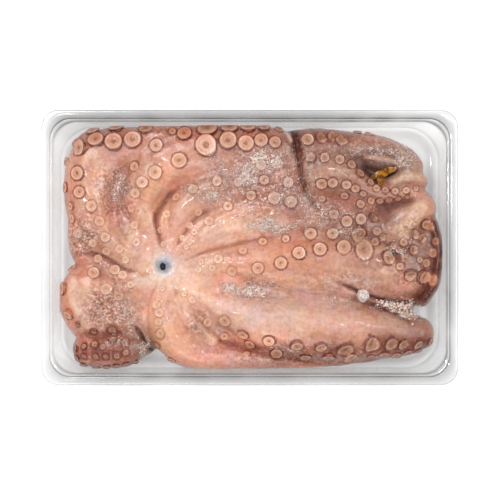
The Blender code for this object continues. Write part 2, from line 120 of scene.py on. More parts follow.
# Strength of the film's painted dark lines on those sides, and at which stations of its profile they lie:
# painted shade where the profile turns and bends the light
FILM_LINES = (0.35, 0.75, 1.0, 0.8)
FILM_SHADE_STATIONS = {7: 0.22, 8: 0.12, 15: 0.5, 16: 0.85, 17: 0.4, 18: 0.2, 19: 0.9, 20: 1.0, 21: 0.4, 24: 0.3,
              25: 0.3}
LAST_WALL_STATION = 17

# Octopus surface
VOXEL = 0.0013
SMOOTHING_ROUNDS = 16
BODY_GAP = 0.0008
SUCKER_GAP = 0.0005
SECTION_POWER = 2.35
SECTION_SIDES = 28
TUBE_STEP = 0.0025
CAP_RINGS = 4
CURVE_STEPS = 12
FLOOR_DEPTH = -4.0
# How far the valleys between arms are filled, left of one plan x and right of another
VALLEY_FILL = (0.86, 0.20)
VALLEY_PLAN_X = (318, 352)
VALLEY_ROUNDS = 120

# Arms as they run out from the mouth, and the stretches that come back from under them.
# Each station is (plan x, plan y, half width in plan units, top in mm).
ARMS = {
    "left_corner": [(92, 156, 29, 35), (98, 155, 29, 35)],
    "top_corner": [(150, 136, 14, 35), (176, 138, 16, 36), (204, 136, 14, 36)],
    "top": [
        (160, 250, 9, 33), (151, 230, 14, 35), (140, 206, 20, 37), (146, 182, 24, 38), (166, 160, 26, 39),
        (200, 151, 28, 39.5), (235, 149, 27, 39.5), (268, 149, 25, 39), (287, 150, 20, 38),
    ],
    "left": [
        (147, 260, 8, 33), (128, 254, 13, 35), (105, 238, 18, 37), (90, 214, 24, 38), (86, 188, 25, 38.5),
        (92, 163, 28, 38), (108, 149, 24, 37), (132, 144, 20, 36), (156, 143, 17, 34),
    ],
    "left_web": [(86, 214, 20, 35), (82, 234, 18, 34), (84, 250, 17, 33), (92, 262, 18, 33)],
    "lower_left": [
        (149, 275, 8, 33), (132, 284, 13, 35), (111, 288, 19, 37), (90, 290, 30, 38), (84, 306, 28, 37),
        (92, 322, 25, 35), (106, 330, 22, 32),
    ],
    "lower_left_tip": [
        (142, 347, 12, 30), (126, 348, 20, 34), (108, 349, 21, 35), (90, 351, 19, 34), (82, 352, 16, 31),
    ],
    "lower_left_web": [(144, 284, 10, 33), (136, 304, 15, 33), (132, 322, 17, 31), (136, 338, 14, 29)],
    "bottom": [
        (160, 286, 9, 33), (161, 306, 14, 35), (165, 330, 18, 36), (180, 347, 19, 36), (205, 357, 16, 34),
        (235, 360, 13, 31), (265, 362, 11, 28), (292, 363, 9, 25), (320, 362, 7.5, 24), (346, 361, 7, 22),
        (372, 358, 6, 20), (392, 355, 5, 19),
    ],
    "lower_right": [
        (178, 280, 9, 33), (198, 294, 14, 35), (228, 309, 20, 37), (262, 322, 26, 39),
        (300, 328, 31, 39.5), (340, 332, 31, 39.5), (378, 334, 27, 38), (408, 335, 23, 35),
        (424, 335, 17, 32),
    ],
    "right": [
        (181, 268, 9, 33), (208, 265, 14, 35), (240, 263, 20, 37), (280, 265, 27, 39),
        (320, 265, 32, 39.5), (358, 266, 34, 39.5), (392, 267, 33, 39), (412, 266, 30, 37),
    ],
    "upper_right": [
        (178, 252, 9, 33), (198, 238, 14, 35), (226, 222, 21, 37), (258, 213, 26, 38.5),
        (292, 211, 27, 39), (325, 213, 25, 38), (352, 220, 22, 36.5), (374, 226, 17, 34),
    ],
    "upper": [
        (167, 250, 8, 33), (173, 230, 13, 35), (184, 208, 19, 37), (208, 190, 23, 38), (238, 182, 26, 39),
        (266, 178, 27, 39.5), (285, 178, 22, 39),
    ],
    "far_edge": [
        (296, 145, 18, 34), (320, 146, 20, 35), (348, 148, 19, 34), (376, 151, 18, 34),
        (398, 158, 18, 35), (413, 169, 16, 35),
    ],
    "far_middle": [
        (296, 171, 19, 34), (322, 170, 21, 35.5), (344, 175, 19, 35), (364, 185, 14, 34),
        (388, 194, 10, 33), (412, 191, 9, 32), (422, 188, 6, 29),
    ],
    "far_lobe": [(392, 182, 7, 33), (404, 177, 9, 36), (416, 177, 9, 37), (425, 181, 7, 35)],
    "bottom_web": [(176, 296, 9, 35), (184, 314, 13, 36), (197, 331, 13, 36), (214, 343, 9, 33)],
    "far_side": [(326, 204, 16, 34), (350, 206, 16, 34), (372, 212, 13, 32)],
    "right_lobe": [(372, 243, 12, 30), (388, 232, 17, 34), (406, 219, 19, 37), (424, 205, 18, 37)],
    "right_clump": [(382, 244, 14, 33), (400, 244, 17, 34), (420, 240, 16, 34), (426, 258, 14, 33)],
    "right_rim": [
        (433, 222, 8, 35), (437, 244, 9, 38), (437, 266, 9, 38), (433, 286, 9, 36), (424, 302, 7, 29),
    ],
}

# Mounds: middle and half sizes in plan units, top in mm, and the power of the rounded form
UNDERSIDE = ((250, 246), (172, 108), 26, 4.0)
ORAL_DISC = ((166, 266), (88, 72), 34.2, 2.8)
MOUND_RINGS = 16
MOUND_SIDES = 64

# Grooves pressed into the skin: points in plan units, depth and half width in mm
GROOVES = {
    "top_to_left": ([(134, 246), (120, 228), (118, 206), (124, 186)], 0.8, 2.2),
    "top_to_upper": ([(163, 252), (158, 234), (157, 216), (166, 198), (178, 186)], 2.4, 1.7),
    "upper_to_upper_right": ([(174, 248), (184, 234), (197, 217), (214, 208)], 1.8, 1.8),
    "upper_right_to_right": ([(186, 259), (206, 252), (230, 246), (256, 240), (284, 238)], 1.2, 1.5),
    "right_to_lower_right": ([(186, 277), (214, 284), (244, 292), (280, 298), (318, 297), (350, 291)],
                             0.5, 4.0),
    "lower_right_to_bottom": ([(172, 283), (180, 304), (192, 328), (214, 341)], 1.0, 2.4),
    "bottom_edge": ([(206, 338), (226, 344), (250, 351), (290, 361), (330, 366)], 1.6, 1.9),
    "bottom_to_lower_left": ([(157, 280), (149, 302), (147, 328), (152, 352)], 0.8, 1.8),
    "lower_left_to_left": ([(138, 273), (124, 269), (112, 262), (98, 256), (76, 252)], 2.0, 1.2),
    "fold": ([(288, 122), (296, 138), (300, 160), (303, 180), (309, 194), (319, 208)], 5.5, 2.0),
    "gap_upper": ([(338, 283), (352, 289), (366, 295), (384, 300), (402, 303), (420, 302)], 3.6, 1.7),
    "gap_lower": ([(366, 302), (384, 309), (400, 316), (414, 323)], 2.6, 1.6),
    "rim_side": ([(430, 226), (434, 244), (434, 264), (429, 284), (418, 300)], 3.0, 1.6),
    "clump_side": ([(384, 256), (391, 251), (396, 256), (404, 262)], 3.0, 2.2),
    "far_pocket": ([(352, 156), (364, 162), (376, 170), (390, 172), (402, 168)], 5.5, 3.4),
    "far_pocket_low": ([(366, 166), (374, 176), (381, 184)], 3.5, 2.4),
    "far_lip": ([(362, 155), (378, 152), (394, 156), (408, 164)], 2.0, 1.6),
    "far_middle_side": ([(376, 209), (388, 206), (404, 202), (420, 197)], 4.0, 2.6),
    "tip_side": ([(133, 325), (141, 337), (148, 349), (156, 358)], 3.4, 1.0),
    "tip_top": ([(78, 333), (96, 337), (112, 334), (124, 334)], 3.0, 2.4),
    "mouth": ([(160, 271), (162, 267), (164, 262)], 5.2, 4.4),
}

# Suckers along each row: plan x, plan y, radius in plan units, and the lean of one that faces sideways
SUCKER_ROWS = {
    "top_inner": [
        (136, 242, 4.2), (134, 225, 4.4), (131, 208, 4.4), (135, 193, 5.2), (142, 182, 6.4),
        (155, 172, 7.4), (179, 160, 8.3), (206, 145, 11.4), (228, 140, 9.5), (246, 143, 8.6),
        (261, 140, 7.6), (275, 142, 6.6),
    ],
    "top_outer": [
        (134, 166, 5.6, 0.2, 0.2), (156, 145, 7.3), (172, 131, 4.4), (184, 133, 8),
        (207, 128, 11, 0, -0.1), (229, 127, 9, 0, -0.2), (248, 127, 8, 0, -0.2), (264, 127, 6.4, 0, -0.2),
        (279, 129, 5),
    ],
    "left_inner": [
        (125, 260, 3.8), (119, 249, 4.6), (105, 237, 5.2), (99, 221, 5.4), (91, 206, 6.1), (79, 192, 6.5),
        (77, 173, 7.6), (79, 147, 9, -0.3, 0.3), (95, 139, 9), (113, 141, 9.6), (132, 139, 9.2),
    ],
    "left_outer": [
        (106, 251, 4.4), (92, 243, 4.4), (77, 233, 5.4), (71, 218, 5), (70, 206, 4.4),
        (64, 187, 5.6, -0.3, 0), (62, 158, 5, -1, 0), (72, 138, 6, -0.8, -0.8),
        (91, 130, 7.4, -0.2, -0.5), (115, 127, 8, 0, -0.3), (145, 128, 7.6, 0, -0.1),
    ],
    "lower_left_near": [
        (97, 259, 4.6), (93, 273, 6.2), (70, 269, 5.6), (61, 289, 6.8, -0.5, 0),
        (67, 315, 5.8, -0.3, 0.4), (77, 325, 3, -0.2, 0.9),
    ],
    "lower_left_far": [(122, 275, 4.6), (114, 270, 5.4), (118, 296, 5.4), (106, 289, 6), (130, 285, 3.6)],
    "tip_ridge": [(93, 332, 4.6, 0, 0.7), (111, 330, 5.6, 0, 0.6)],
    "tip_upper": [
        (83, 347, 4.2), (94, 345, 4.8, 0, -0.3), (102, 347, 4.2, 0.5, 0), (112, 340, 4.8, 0, -0.3),
        (124, 343, 5.2, 0.2, 0.7),
    ],
    "tip_lower": [
        (83, 357, 4.2, 0, 0.3), (95, 357, 4.4, 0, 0.6), (105, 357, 4.4, 0, 0.6), (116, 356, 4.8),
        (125, 353, 4.6),
    ],
    "tip_edge": [
        (74, 350, 3.4, -0.9, 0), (75, 359, 3.9, -0.7, 0.4), (83, 368, 4.1, 0, 0.8),
        (94, 369, 4.2, 0, 0.8), (105, 368, 4.2, 0, 0.8), (115, 367, 4, 0, 0.8), (125, 365, 4, 0, 0.8),
        (134, 363, 3.6, 0, 0.8),
    ],
    "bottom_row": [
        (162, 289, 2.8), (158, 298, 3.2), (156, 305, 4.4), (159, 313, 4.8), (158, 322, 4.4),
        (160, 334, 5.4), (157, 346, 4.2), (171, 361, 4.4, -0.3, 0.9),
    ],
    "lower_right_inner": [
        (176, 287, 2.6), (184, 294, 3), (192, 300, 4), (207, 323, 4.8), (225, 321, 6.2), (243, 335, 6.4),
        (269, 341, 6.6), (297, 346, 6.8, 0.2, 0.3), (321, 347, 6.2, 0.3, 0.7), (345, 349, 8.8, 0.5, 1),
        (370, 344, 8.8, 1, 0.4), (391, 344, 7.6, 0.7, 0.3), (403, 345, 6, 0.8, 0.2),
        (419, 345, 6, 0.5, 0.7), (432, 343, 4.6, 1.2, 0.2),
    ],
    "lower_right_outer": [
        (224, 337, 4.6, 0, 0.3), (250, 345, 6.1), (277, 354, 6.6), (306, 358, 6.2, 0, 0.3),
        (329, 358, 6.8, 0, 0.4), (351, 358, 7.6, 0.6, 1), (372, 357, 4, 0, 1), (385, 355, 5.6, 0.2, 1),
        (398, 356, 5.4, 0, 1), (410, 353, 4.6, 0.2, 0.9), (420, 352, 4.6, 0.2, 1),
    ],
    "right_upper": [
        (201, 262, 3.2), (218, 259, 5), (243, 251, 5), (263, 242, 5), (286, 239, 4.6), (311, 233, 6.8),
        (333, 233, 6.6), (359, 233, 8.2, 0, 0.6), (378, 231, 5),
    ],
    "right_lower": [
        (187, 264, 3), (198, 270, 3.2), (212, 268, 3.8), (232, 271, 5.2), (258, 268, 6.4),
        (281, 263, 6.8), (299, 253, 7.2), (320, 249, 7.4, 0.1, 0.3), (344, 247, 7.8, 0, 0.4),
        (364, 249, 9.6, 0.1, 0.8), (388, 258, 7.6, 0.4, 0), (400, 266, 4.6, 0, 0.5),
        (411, 274, 6.8, 0, 0.9), (424, 277, 7.4, 0.8, 0.2),
    ],
    "upper_right_near": [
        (186, 247, 2.8), (194, 232, 3.4), (209, 221, 5.2), (228, 206, 5.2), (274, 198, 7),
        (291, 202, 6.8),
    ],
    "upper_right_far": [
        (334, 214, 5.8, 0, 0.4), (347, 221, 6.3), (361, 219, 6.2), (373, 217, 5.4, 1.2, 0.3),
    ],
    "upper_left_side": [
        (163, 244, 3), (160, 230, 3.6), (166, 214, 4.2), (176, 197, 4.6), (193, 189, 5.4),
        (217, 181, 5.4), (251, 195, 5.6), (261, 165, 5.6), (277, 163, 6.2),
    ],
    "upper_right_side": [
        (182, 238, 2.8), (189, 225, 3.4), (198, 212, 4), (238, 182, 5), (264, 180, 5.6), (288, 182, 6),
    ],
    "far_edge_big": [
        (308, 139, 6.8), (320, 137, 6.2, 0.9, 0.3), (332, 136, 6.4, 1.1, 0.3), (340, 139, 6, 0.9, 0.5),
    ],
    "far_edge_small": [(359, 131, 4.2, 0, -0.7), (368, 131, 4, 0, -0.4), (375, 134, 3, 0.3, -0.5)],
    "far_middle_upper": [
        (311, 157, 5.4, 0, -0.4), (325, 157, 5.4), (340, 159, 5.4), (352, 164, 5.2), (361, 173, 5.2),
        (371, 182, 4.4), (377, 188, 4.2), (386, 190, 4.2), (396, 191, 4.2), (407, 190, 4),
        (417, 188, 3.2),
    ],
    "far_middle_lower": [
        (322, 183, 6.4), (333, 182, 6), (347, 184, 5.4), (356, 188, 5), (364, 193, 4), (372, 200, 4.4),
        (381, 200, 4.2), (390, 199, 4), (399, 198, 3.6), (408, 196, 3),
    ],
    "far_side_row": [(345, 196, 4.8), (361, 204, 5), (322, 199, 4.4)],
    "clump_low": [
        (376, 242, 5, -0.5, 0.5), (404, 243, 4.8, 0.2, -0.6), (413, 250, 5.4, 0.9, 0.2), (420, 260, 3.6),
    ],
    "clump_high": [
        (414, 234, 5.4, 1.3, 0.2), (423, 238, 4.8, 0.5, 0.4), (427, 224, 5.4, 0.6, 0.2),
        (393, 245, 3.6, 0.6, 0.6), (383, 236, 4, 0.6, 0.8),
    ],
    "clump_side": [(427, 263, 6), (434, 253, 5.2), (436, 241, 4.4, 0.5, 0.3)],
}
SUCKER_RISE = 0.12
SUCKER_RISE_MM = 0.40
SUCKER_SUNK_MM = 2.0
STEEPEST_SUCKER = 0.45
CROWDING = 1.10
LEAST_SHRINK = 0.55
# A sucker's section, from its root to the bottom of its cup: share of the radius, share of the rise
SUCKER_SECTION = (
    (0.70, None), (0.76, -0.2), (0.88, 0.25), (0.975, 0.60), (1.0, 0.80), (0.985, 0.93), (0.93, 0.99),
    (0.87, 1.0), (0.78, 0.93), (0.66, 0.84), (0.50, 0.80), (0.38, 0.86), (0.27, 0.72), (0.17, 0.50),
)

# The mouth's middle, and the shift and half sizes of its grey lips, in plan units
MOUTH = (162, 267)
LIP_SHIFT = 1.5
LIP_SPREAD = (9, 10)
# The amber scrap's strips: plan x, plan y, half width in plan units
SCRAP = (
    [(372, 177, 1.6), (378, 175, 3.4), (384, 172, 4.0), (390, 170, 3.8), (397, 167, 1.4)],
    [(385, 173, 3.0), (382, 178, 3.4), (381, 182, 2.8), (380, 186, 1.2)],
)

# Colours as seen in the photo, in sRGB from 0 to 255
CREAM = (238, 200, 182)
PEACH = (230, 182, 160)
ARM_SKIN = (218, 164, 141)
WARM_SKIN = (213, 153, 125)
PALE_SKIN = (230, 188, 166)
PINK_SKIN = (198, 146, 130)
ROSE_SKIN = (186, 128, 112)
MAUVE_SKIN = (186, 142, 134)
WHITE_SKIN = (244, 222, 210)
TAN_SKIN = (194, 148, 130)
DUSK_SKIN = (168, 120, 104)
BROWN_SKIN = (92, 42, 24)
FOLD_RED = (148, 82, 61)
FOLD_DARK = (84, 46, 38)
FOLD_GREY = (142, 122, 118)
BLOTCH = (132, 78, 64)
FROST_SKIN = (238, 220, 210)
FROST_GAP = (142, 92, 76)
DISC = (228, 179, 150)
DISC_PALE = (248, 216, 190)
DISC_RING = (188, 124, 88)
# DISC_HOLE is the cup's browner middle with painted shade in its hole; OUTLINE and OUTLINE_WARM are the rim's
# darker skin with painted shade under it
DISC_HOLE = (142, 94, 58)
OUTLINE = (112, 42, 24)
OUTLINE_WARM = (166, 96, 62)
# How the light's wash is made up for in the skin's colours, and the painted shade that darkens them in folds
# and hollows
SKIN_DEPTH = (0.778, 0.658, 0.585)
FOLD_SHADE = (0.52, 0.34, 0.28)
LIP_GREY = (150, 156, 168)
LIP_PALE = (206, 200, 200)
# Warmer skin close to the walls, how far it reaches in metres, and the stretch at the near side without it
WALL_WARMTH = (1.08, 0.86, 0.72)
WALL_REACH = 0.011
PLAIN_EDGE = ((240, 360), (80, 26))
# The arm tip at the lower left, where the suckers are darker and boldly outlined
TIP_FIELD = ((106, 350), (66, 34))

# Fields of skin colour, some of them painted highlights as marked: plan middle, half sizes in plan units,
# colour, strength
SKIN_FIELDS = [
    ((168, 272), (58, 52), CREAM, 0.95), ((190, 225), (50, 34), PEACH, 0.8),
    ((90, 190), (34, 60), ARM_SKIN, 0.6), ((180, 132), (110, 22), (200, 141, 121), 0.9),
    ((120, 190), (18, 40), PINK_SKIN, 0.7), ((250, 168), (56, 34), (182, 132, 122), 0.95),
    ((318, 208), (34, 20), (176, 128, 120), 0.7), ((280, 205), (44, 30), ROSE_SKIN, 0.55),
    ((330, 205), (70, 36), ROSE_SKIN, 0.8), ((360, 152), (90, 34), DUSK_SKIN, 0.8),
    ((336, 172), (26, 9), PALE_SKIN, 0.6), ((300, 268), (80, 26), WARM_SKIN, 0.9),
    ((390, 275), (56, 26), TAN_SKIN, 0.9), ((408, 285), (40, 14), DUSK_SKIN, 0.6),
    ((262, 312), (90, 24), (229, 195, 182), 0.95), ((340, 322), (60, 18), (224, 186, 172), 0.7),
    ((400, 330), (46, 26), TAN_SKIN, 0.9), ((310, 350), (120, 15), ROSE_SKIN, 0.8),
    ((196, 322), (15, 20), (192, 140, 112), 0.85), ((225, 362), (70, 12), PINK_SKIN, 0.9),
    ((304, 294), (60, 12), (206, 173, 168), 0.95), ((176, 276), (24, 24), (238, 216, 208), 0.7),
    ((240, 236), (36, 16), (232, 198, 184), 0.75), ((92, 262), (40, 14), ROSE_SKIN, 0.7),
    # The pale field at (78, 294) is a painted highlight on the lower left lobe; the white patches round the
    # mouth below are pale papillae with painted highlights of wet glints
    ((105, 310), (36, 26), TAN_SKIN, 0.7), ((78, 294), (13, 26), PALE_SKIN, 0.8),
    ((142, 284), (12, 7), WHITE_SKIN, 0.7), ((176, 268), (12, 6), WHITE_SKIN, 0.6),
    ((168, 284), (7, 9), WHITE_SKIN, 0.6), ((148, 258), (9, 6), WHITE_SKIN, 0.5),
    ((150, 330), (9, 12), PALE_SKIN, 0.6), ((232, 164), (12, 10), PALE_SKIN, 0.5),
    ((136, 345), (20, 26), DUSK_SKIN, 0.8), ((104, 350), (46, 26), DUSK_SKIN, 0.9),
    ((410, 216), (26, 26), TAN_SKIN, 0.9), ((425, 250), (30, 40), DUSK_SKIN, 0.8),
    ((404, 178), (30, 20), TAN_SKIN, 0.8), ((372, 222), (36, 22), DUSK_SKIN, 0.6),
    ((330, 132), (60, 16), (178, 120, 100), 0.8), ((70, 264), (18, 18), (208, 140, 110), 0.85),
    ((404, 350), (54, 14), (172, 98, 64), 1.0), ((330, 356), (60, 10), (172, 112, 88), 0.8),
    ((118, 306), (20, 14), (190, 134, 112), 0.5), ((290, 308), (42, 12), (224, 190, 180), 0.5),
    ((258, 236), (40, 14), (232, 194, 182), 0.5), ((420, 335), (30, 26), ROSE_SKIN, 0.7),
    ((106, 352), (44, 22), (166, 96, 76), 0.95), ((84, 250), (32, 18), (204, 142, 118), 0.8),
    ((240, 128), (70, 10), (184, 128, 112), 0.5), ((126, 142), (40, 20), (206, 150, 142), 0.6),
    ((112, 178), (18, 28), (204, 160, 154), 0.8), ((150, 190), (16, 26), (226, 172, 136), 0.6),
    ((166, 336), (24, 30), (244, 190, 152), 0.75), ((116, 304), (24, 20), (204, 142, 108), 0.5),
    ((66, 267), (15, 18), (214, 130, 86), 0.95), ((300, 308), (64, 18), (223, 193, 185), 0.7),
    ((236, 358), (60, 14), (206, 152, 146), 0.9), ((412, 344), (34, 16), (164, 90, 52), 0.7),
]
# Where the skin is darker or lighter over all, partly painted shade and painted light and partly its own
# tone: plan middle, half sizes in plan units, factor
SHADE_AND_TONES = [
    ((150, 128), (110, 12), 0.84), ((285, 130), (36, 16), 0.76), ((335, 160), (60, 44), 0.86),
    ((402, 152), (36, 26), 0.78), ((250, 228), (40, 10), 1.22), ((370, 226), (40, 14), 0.80),
    ((424, 255), (24, 28), 0.72), ((210, 282), (60, 18), 1.10), ((305, 292), (50, 13), 1.32),
    ((108, 352), (50, 24), 0.97), ((114, 184), (18, 30), 1.14), ((325, 354), (110, 14), 0.86),
    ((410, 350), (44, 16), 0.74), ((372, 262), (40, 26), 0.84), ((206, 198), (22, 14), 0.88),
    ((376, 228), (26, 14), 0.86), ((170, 186), (12, 10), 1.16), ((345, 126), (44, 8), 0.85),
    ((282, 146), (14, 10), 0.85), ((392, 303), (16, 6), 0.80), ((412, 285), (14, 8), 1.14),
    ((430, 344), (12, 12), 0.80), ((190, 360), (40, 10), 1.14), ((240, 345), (26, 7), 1.12),
    ((152, 164), (12, 12), 0.82), ((212, 166), (18, 14), 1.14), ((236, 186), (26, 10), 0.82),
    ((306, 166), (10, 16), 0.84), ((400, 167), (16, 10), 0.80), ((410, 206), (14, 8), 0.86),
    ((421, 336), (24, 22), 0.84), ((232, 286), (20, 8), 1.14), ((402, 286), (26, 12), 1.18),
    ((360, 244), (40, 8), 0.88), ((114, 198), (28, 22), 1.16), ((256, 343), (44, 8), 1.14),
    ((325, 145), (50, 26), 0.82), ((400, 166), (20, 14), 0.80), ((375, 238), (54, 16), 0.88),
    ((340, 286), (26, 10), 0.82), ((408, 316), (34, 26), 0.82), ((330, 224), (18, 8), 0.84),
    ((262, 246), (46, 24), 1.14), ((180, 174), (20, 16), 1.20), ((240, 286), (20, 8), 1.18),
    ((150, 316), (9, 22), 1.20), ((262, 336), (44, 14), 1.10), ((205, 305), (24, 14), 1.14),
    ((350, 190), (70, 44), 0.88), ((300, 205), (24, 20), 0.86), ((340, 132), (44, 8), 0.9),
    ((345, 345), (60, 10), 0.9), ((242, 342), (40, 12), 1.26), ((90, 190), (24, 40), 1.06),
    ((140, 345), (14, 22), 0.72), ((345, 310), (50, 10), 0.90), ((112, 168), (18, 12), 1.16),
    ((160, 168), (14, 10), 1.15), ((232, 172), (46, 12), 0.88), ((190, 188), (14, 10), 0.80),
    ((92, 250), (40, 12), 0.90), ((412, 290), (32, 20), 1.2), ((280, 346), (60, 8), 1.3),
    ((210, 362), (52, 11), 1.3), ((82, 342), (22, 16), 1.4),
]
# Skin coloured along a line, over what the fields give: points in plan units, half width, colour, strength.
# Some lines are painted shade in folds and creases and some painted highlights, as marked
SKIN_LINES = [
    # Painted shadow: the dark band where the far flap folds over, and painted shade along the fold below it
    ([(285, 114), (291, 126), (295, 138), (299, 156)], 7.5, (84, 34, 22), 1.2),
    ([(296, 146), (301, 162), (304, 180), (310, 195), (320, 211)], 4.5, FOLD_RED, 0.8),
    ([(303, 160), (306, 178), (313, 194), (320, 206)], 1.2, (222, 186, 172), 0.8),
    ([(306, 160), (309, 178), (316, 193)], 1.0, FOLD_DARK, 0.7),
    ([(295, 144), (299, 162), (302, 180), (308, 195), (318, 211)], 1.4, FOLD_DARK, 1.0),
    # Painted highlight on the flap's thin edge
    ([(287, 131), (293, 143)], 2.2, WHITE_SKIN, 0.9),
    # Painted shade in the far pocket and the folds at its lip, with a paler lip between
    ([(352, 155), (368, 163), (384, 166), (404, 164)], 6.5, FOLD_GREY, 0.85),
    ([(356, 153), (376, 149), (394, 152), (412, 163)], 2.2, (120, 96, 88), 0.8),
    ([(364, 158), (378, 157), (392, 160), (404, 166)], 1.6, PALE_SKIN, 0.6),
    ([(366, 164), (374, 176), (381, 186)], 3.6, FOLD_DARK, 0.8),
    ([(372, 168), (384, 167), (398, 166)], 2.6, (96, 74, 72), 0.85),
    ([(390, 184), (402, 178), (414, 177), (422, 182)], 6.5, (212, 182, 160), 0.85),
    ([(396, 238), (408, 226), (418, 214), (427, 202)], 8.5, (230, 202, 178), 0.9),
    ([(378, 206), (386, 214), (384, 226)], 7.0, (156, 116, 108), 0.8),
    # Painted shade in the crevices among the suckers of the right clump
    ([(384, 240), (392, 249), (402, 252), (410, 246)], 2.6, (72, 50, 46), 0.9),
    ([(374, 206), (390, 206), (406, 202)], 8.0, MAUVE_SKIN, 0.6),
    # Painted shade in the fold beside the far arm
    ([(382, 204), (392, 207)], 4.0, FOLD_DARK, 0.6),
    # Painted highlights: wet glints on the right arms
    ([(383, 268), (388, 275)], 4.0, WHITE_SKIN, 0.8),
    ([(338, 300), (350, 304), (364, 306)], 2.4, WHITE_SKIN, 0.5),
    # Painted highlights: pale streaks along the ridges of the arms
    ([(186, 252), (206, 240), (232, 226), (262, 216)], 6.0, CREAM, 0.5),
    ([(128, 206), (140, 182), (158, 164)], 5.0, PEACH, 0.4),
    # Painted shade in the crevice among the suckers of the right clump
    ([(388, 250), (394, 252), (400, 256)], 4.5, FOLD_DARK, 0.9),
    ([(430, 214), (437, 232), (438.5, 256), (435.5, 280), (427, 296), (416, 308)], 8.0, BROWN_SKIN, 1.35),
    # Painted shade in the folds between the two right arms
    ([(338, 283), (352, 289), (366, 295), (384, 300), (402, 303), (422, 301)], 2.0, FOLD_DARK, 0.95),
    ([(366, 302), (384, 309), (400, 316), (414, 323)], 1.8, FOLD_DARK, 0.85),
    # Painted shade in the crease beside the arm tip
    ([(131, 324), (141, 337), (148, 349), (156, 360)], 1.5, (52, 30, 26), 1.0),
    # Painted highlight: the pale crescent on the lower left lobe
    ([(75, 276), (71, 290), (74, 306), (82, 318)], 4.5, WHITE_SKIN, 1.0),
    ([(101, 262), (99, 276), (104, 296)], 1.6, FOLD_RED, 0.6),
    ([(108, 262), (113, 280), (120, 302)], 1.6, FOLD_RED, 0.6),
    # Painted highlights: pale streaks along the ridges of the arms
    ([(262, 303), (310, 314), (350, 318), (400, 324)], 4.0, PALE_SKIN, 0.5),
    ([(320, 262), (350, 270), (380, 274), (404, 268)], 5.0, PEACH, 0.5),
    ([(138, 340), (142, 350), (140, 360)], 6.0, (124, 92, 78), 0.7),
    # Painted shade in the crease above the arm tip
    ([(76, 334), (100, 338), (124, 336)], 2.6, FOLD_RED, 0.8),
    ([(74, 340), (72, 356), (80, 368), (108, 371), (134, 366), (148, 358)], 4.0, (112, 56, 42), 0.95),
    ([(80, 362), (104, 363), (132, 360)], 1.5, (196, 160, 146), 0.7),
    # Painted shade in the crease between the tip's rows of suckers
    ([(78, 351), (100, 352), (122, 349)], 1.6, (112, 56, 42), 0.6),
    # Painted shade in the crease between the lower left and left arms
    ([(60, 262), (80, 254), (98, 256), (112, 262), (122, 268)], 2.4, FOLD_RED, 0.8),
    ([(80, 249), (98, 255), (113, 262), (130, 273)], 1.2, FOLD_DARK, 0.9),
    ([(66, 240), (62, 200), (61, 160)], 4.0, ROSE_SKIN, 0.7),
    ([(212, 336), (240, 346), (276, 358), (330, 364), (390, 360), (430, 350)], 4.5, FOLD_RED, 0.45),
    ([(84, 128), (130, 122), (200, 121), (280, 122)], 4.0, FOLD_RED, 0.7),
    # Painted shade in the creases between the arms near the mouth
    ([(120, 186), (114, 200), (118, 214)], 3.0, FOLD_RED, 0.6),
    ([(158, 205), (155, 222), (158, 238)], 2.4, FOLD_RED, 0.85),
    ([(200, 252), (226, 247), (252, 240)], 2.2, (196, 128, 86), 0.7),
    # Painted shade in the crease at the lower left of the mouth
    ([(134, 273), (118, 266), (104, 258)], 2.2, FOLD_RED, 0.7),
    ([(136, 276), (150, 273)], 3.0, (204, 142, 100), 0.7),
]
# Where the skin is blotched and rough: plan middle, half sizes in plan units, strength
ROUGH_FIELDS = [
    ((110, 200), (40, 50), 0.6), ((80, 235), (26, 26), 0.9), ((262, 180), (60, 46), 1.0),
    ((350, 150), (80, 30), 0.5), ((345, 215), (44, 30), 0.7), ((110, 309), (34, 32), 0.9),
    ((110, 350), (50, 26), 0.7), ((414, 250), (24, 38), 0.9), ((320, 355), (120, 14), 0.9),
    ((198, 322), (16, 18), 0.7), ((226, 338), (24, 8), 0.6), ((256, 290), (36, 14), 0.9),
    ((180, 128), (120, 16), 0.6), ((335, 285), (60, 14), 0.5), ((404, 304), (34, 12), 1.0),
]
# Fields of frost: plan middle, half sizes in plan units, strength
FROST_FIELDS = [
    ((268, 160), (28, 15), 1.0), ((247, 174), (10, 8), 1.0), ((218, 162), (14, 16), 0.6),
    ((236, 178), (26, 12), 0.4), ((212, 198), (13, 9), 0.9), ((284, 190), (24, 20), 0.5),
    ((276, 229), (28, 8), 1.0), ((262, 222), (14, 6), 0.7), ((318, 212), (20, 18), 0.5),
    ((306, 198), (12, 22), 0.55), ((118, 188), (13, 18), 0.75), ((82, 236), (20, 16), 0.4),
    ((104, 308), (26, 20), 0.36), ((128, 312), (12, 12), 0.6), ((143, 350), (5, 11), 0.8),
    ((230, 287), (13, 7), 1.0), ((252, 292), (20, 9), 0.85), ((400, 308), (24, 8), 1.0),
    ((414, 314), (10, 7), 1.0), ((384, 151), (34, 6), 0.6), ((406, 160), (12, 10), 0.7),
    ((188, 190), (9, 8), 0.4), ((120, 340), (16, 8), 0.35), ((340, 302), (20, 5), 0.4),
    ((394, 250), (10, 5), 0.7), ((306, 158), (10, 18), 0.35), ((348, 228), (14, 8), 0.45),
]
# Larger lumps of frost between the two arms at the right: plan place, radius in mm
FROST_LUMPS = [
    (379, 303, 1.6), (384, 304, 1.8), (389, 305, 2.0), (394, 308, 1.8), (399, 306, 2.0), (404, 305, 1.8),
    (408, 309, 2.2), (413, 305, 1.8), (411, 314, 1.9), (417, 309, 2.0), (418, 315, 1.8), (403, 312, 1.7),
    (397, 311, 1.4), (388, 309, 1.3), (422, 311, 1.4), (414, 320, 1.3),
]
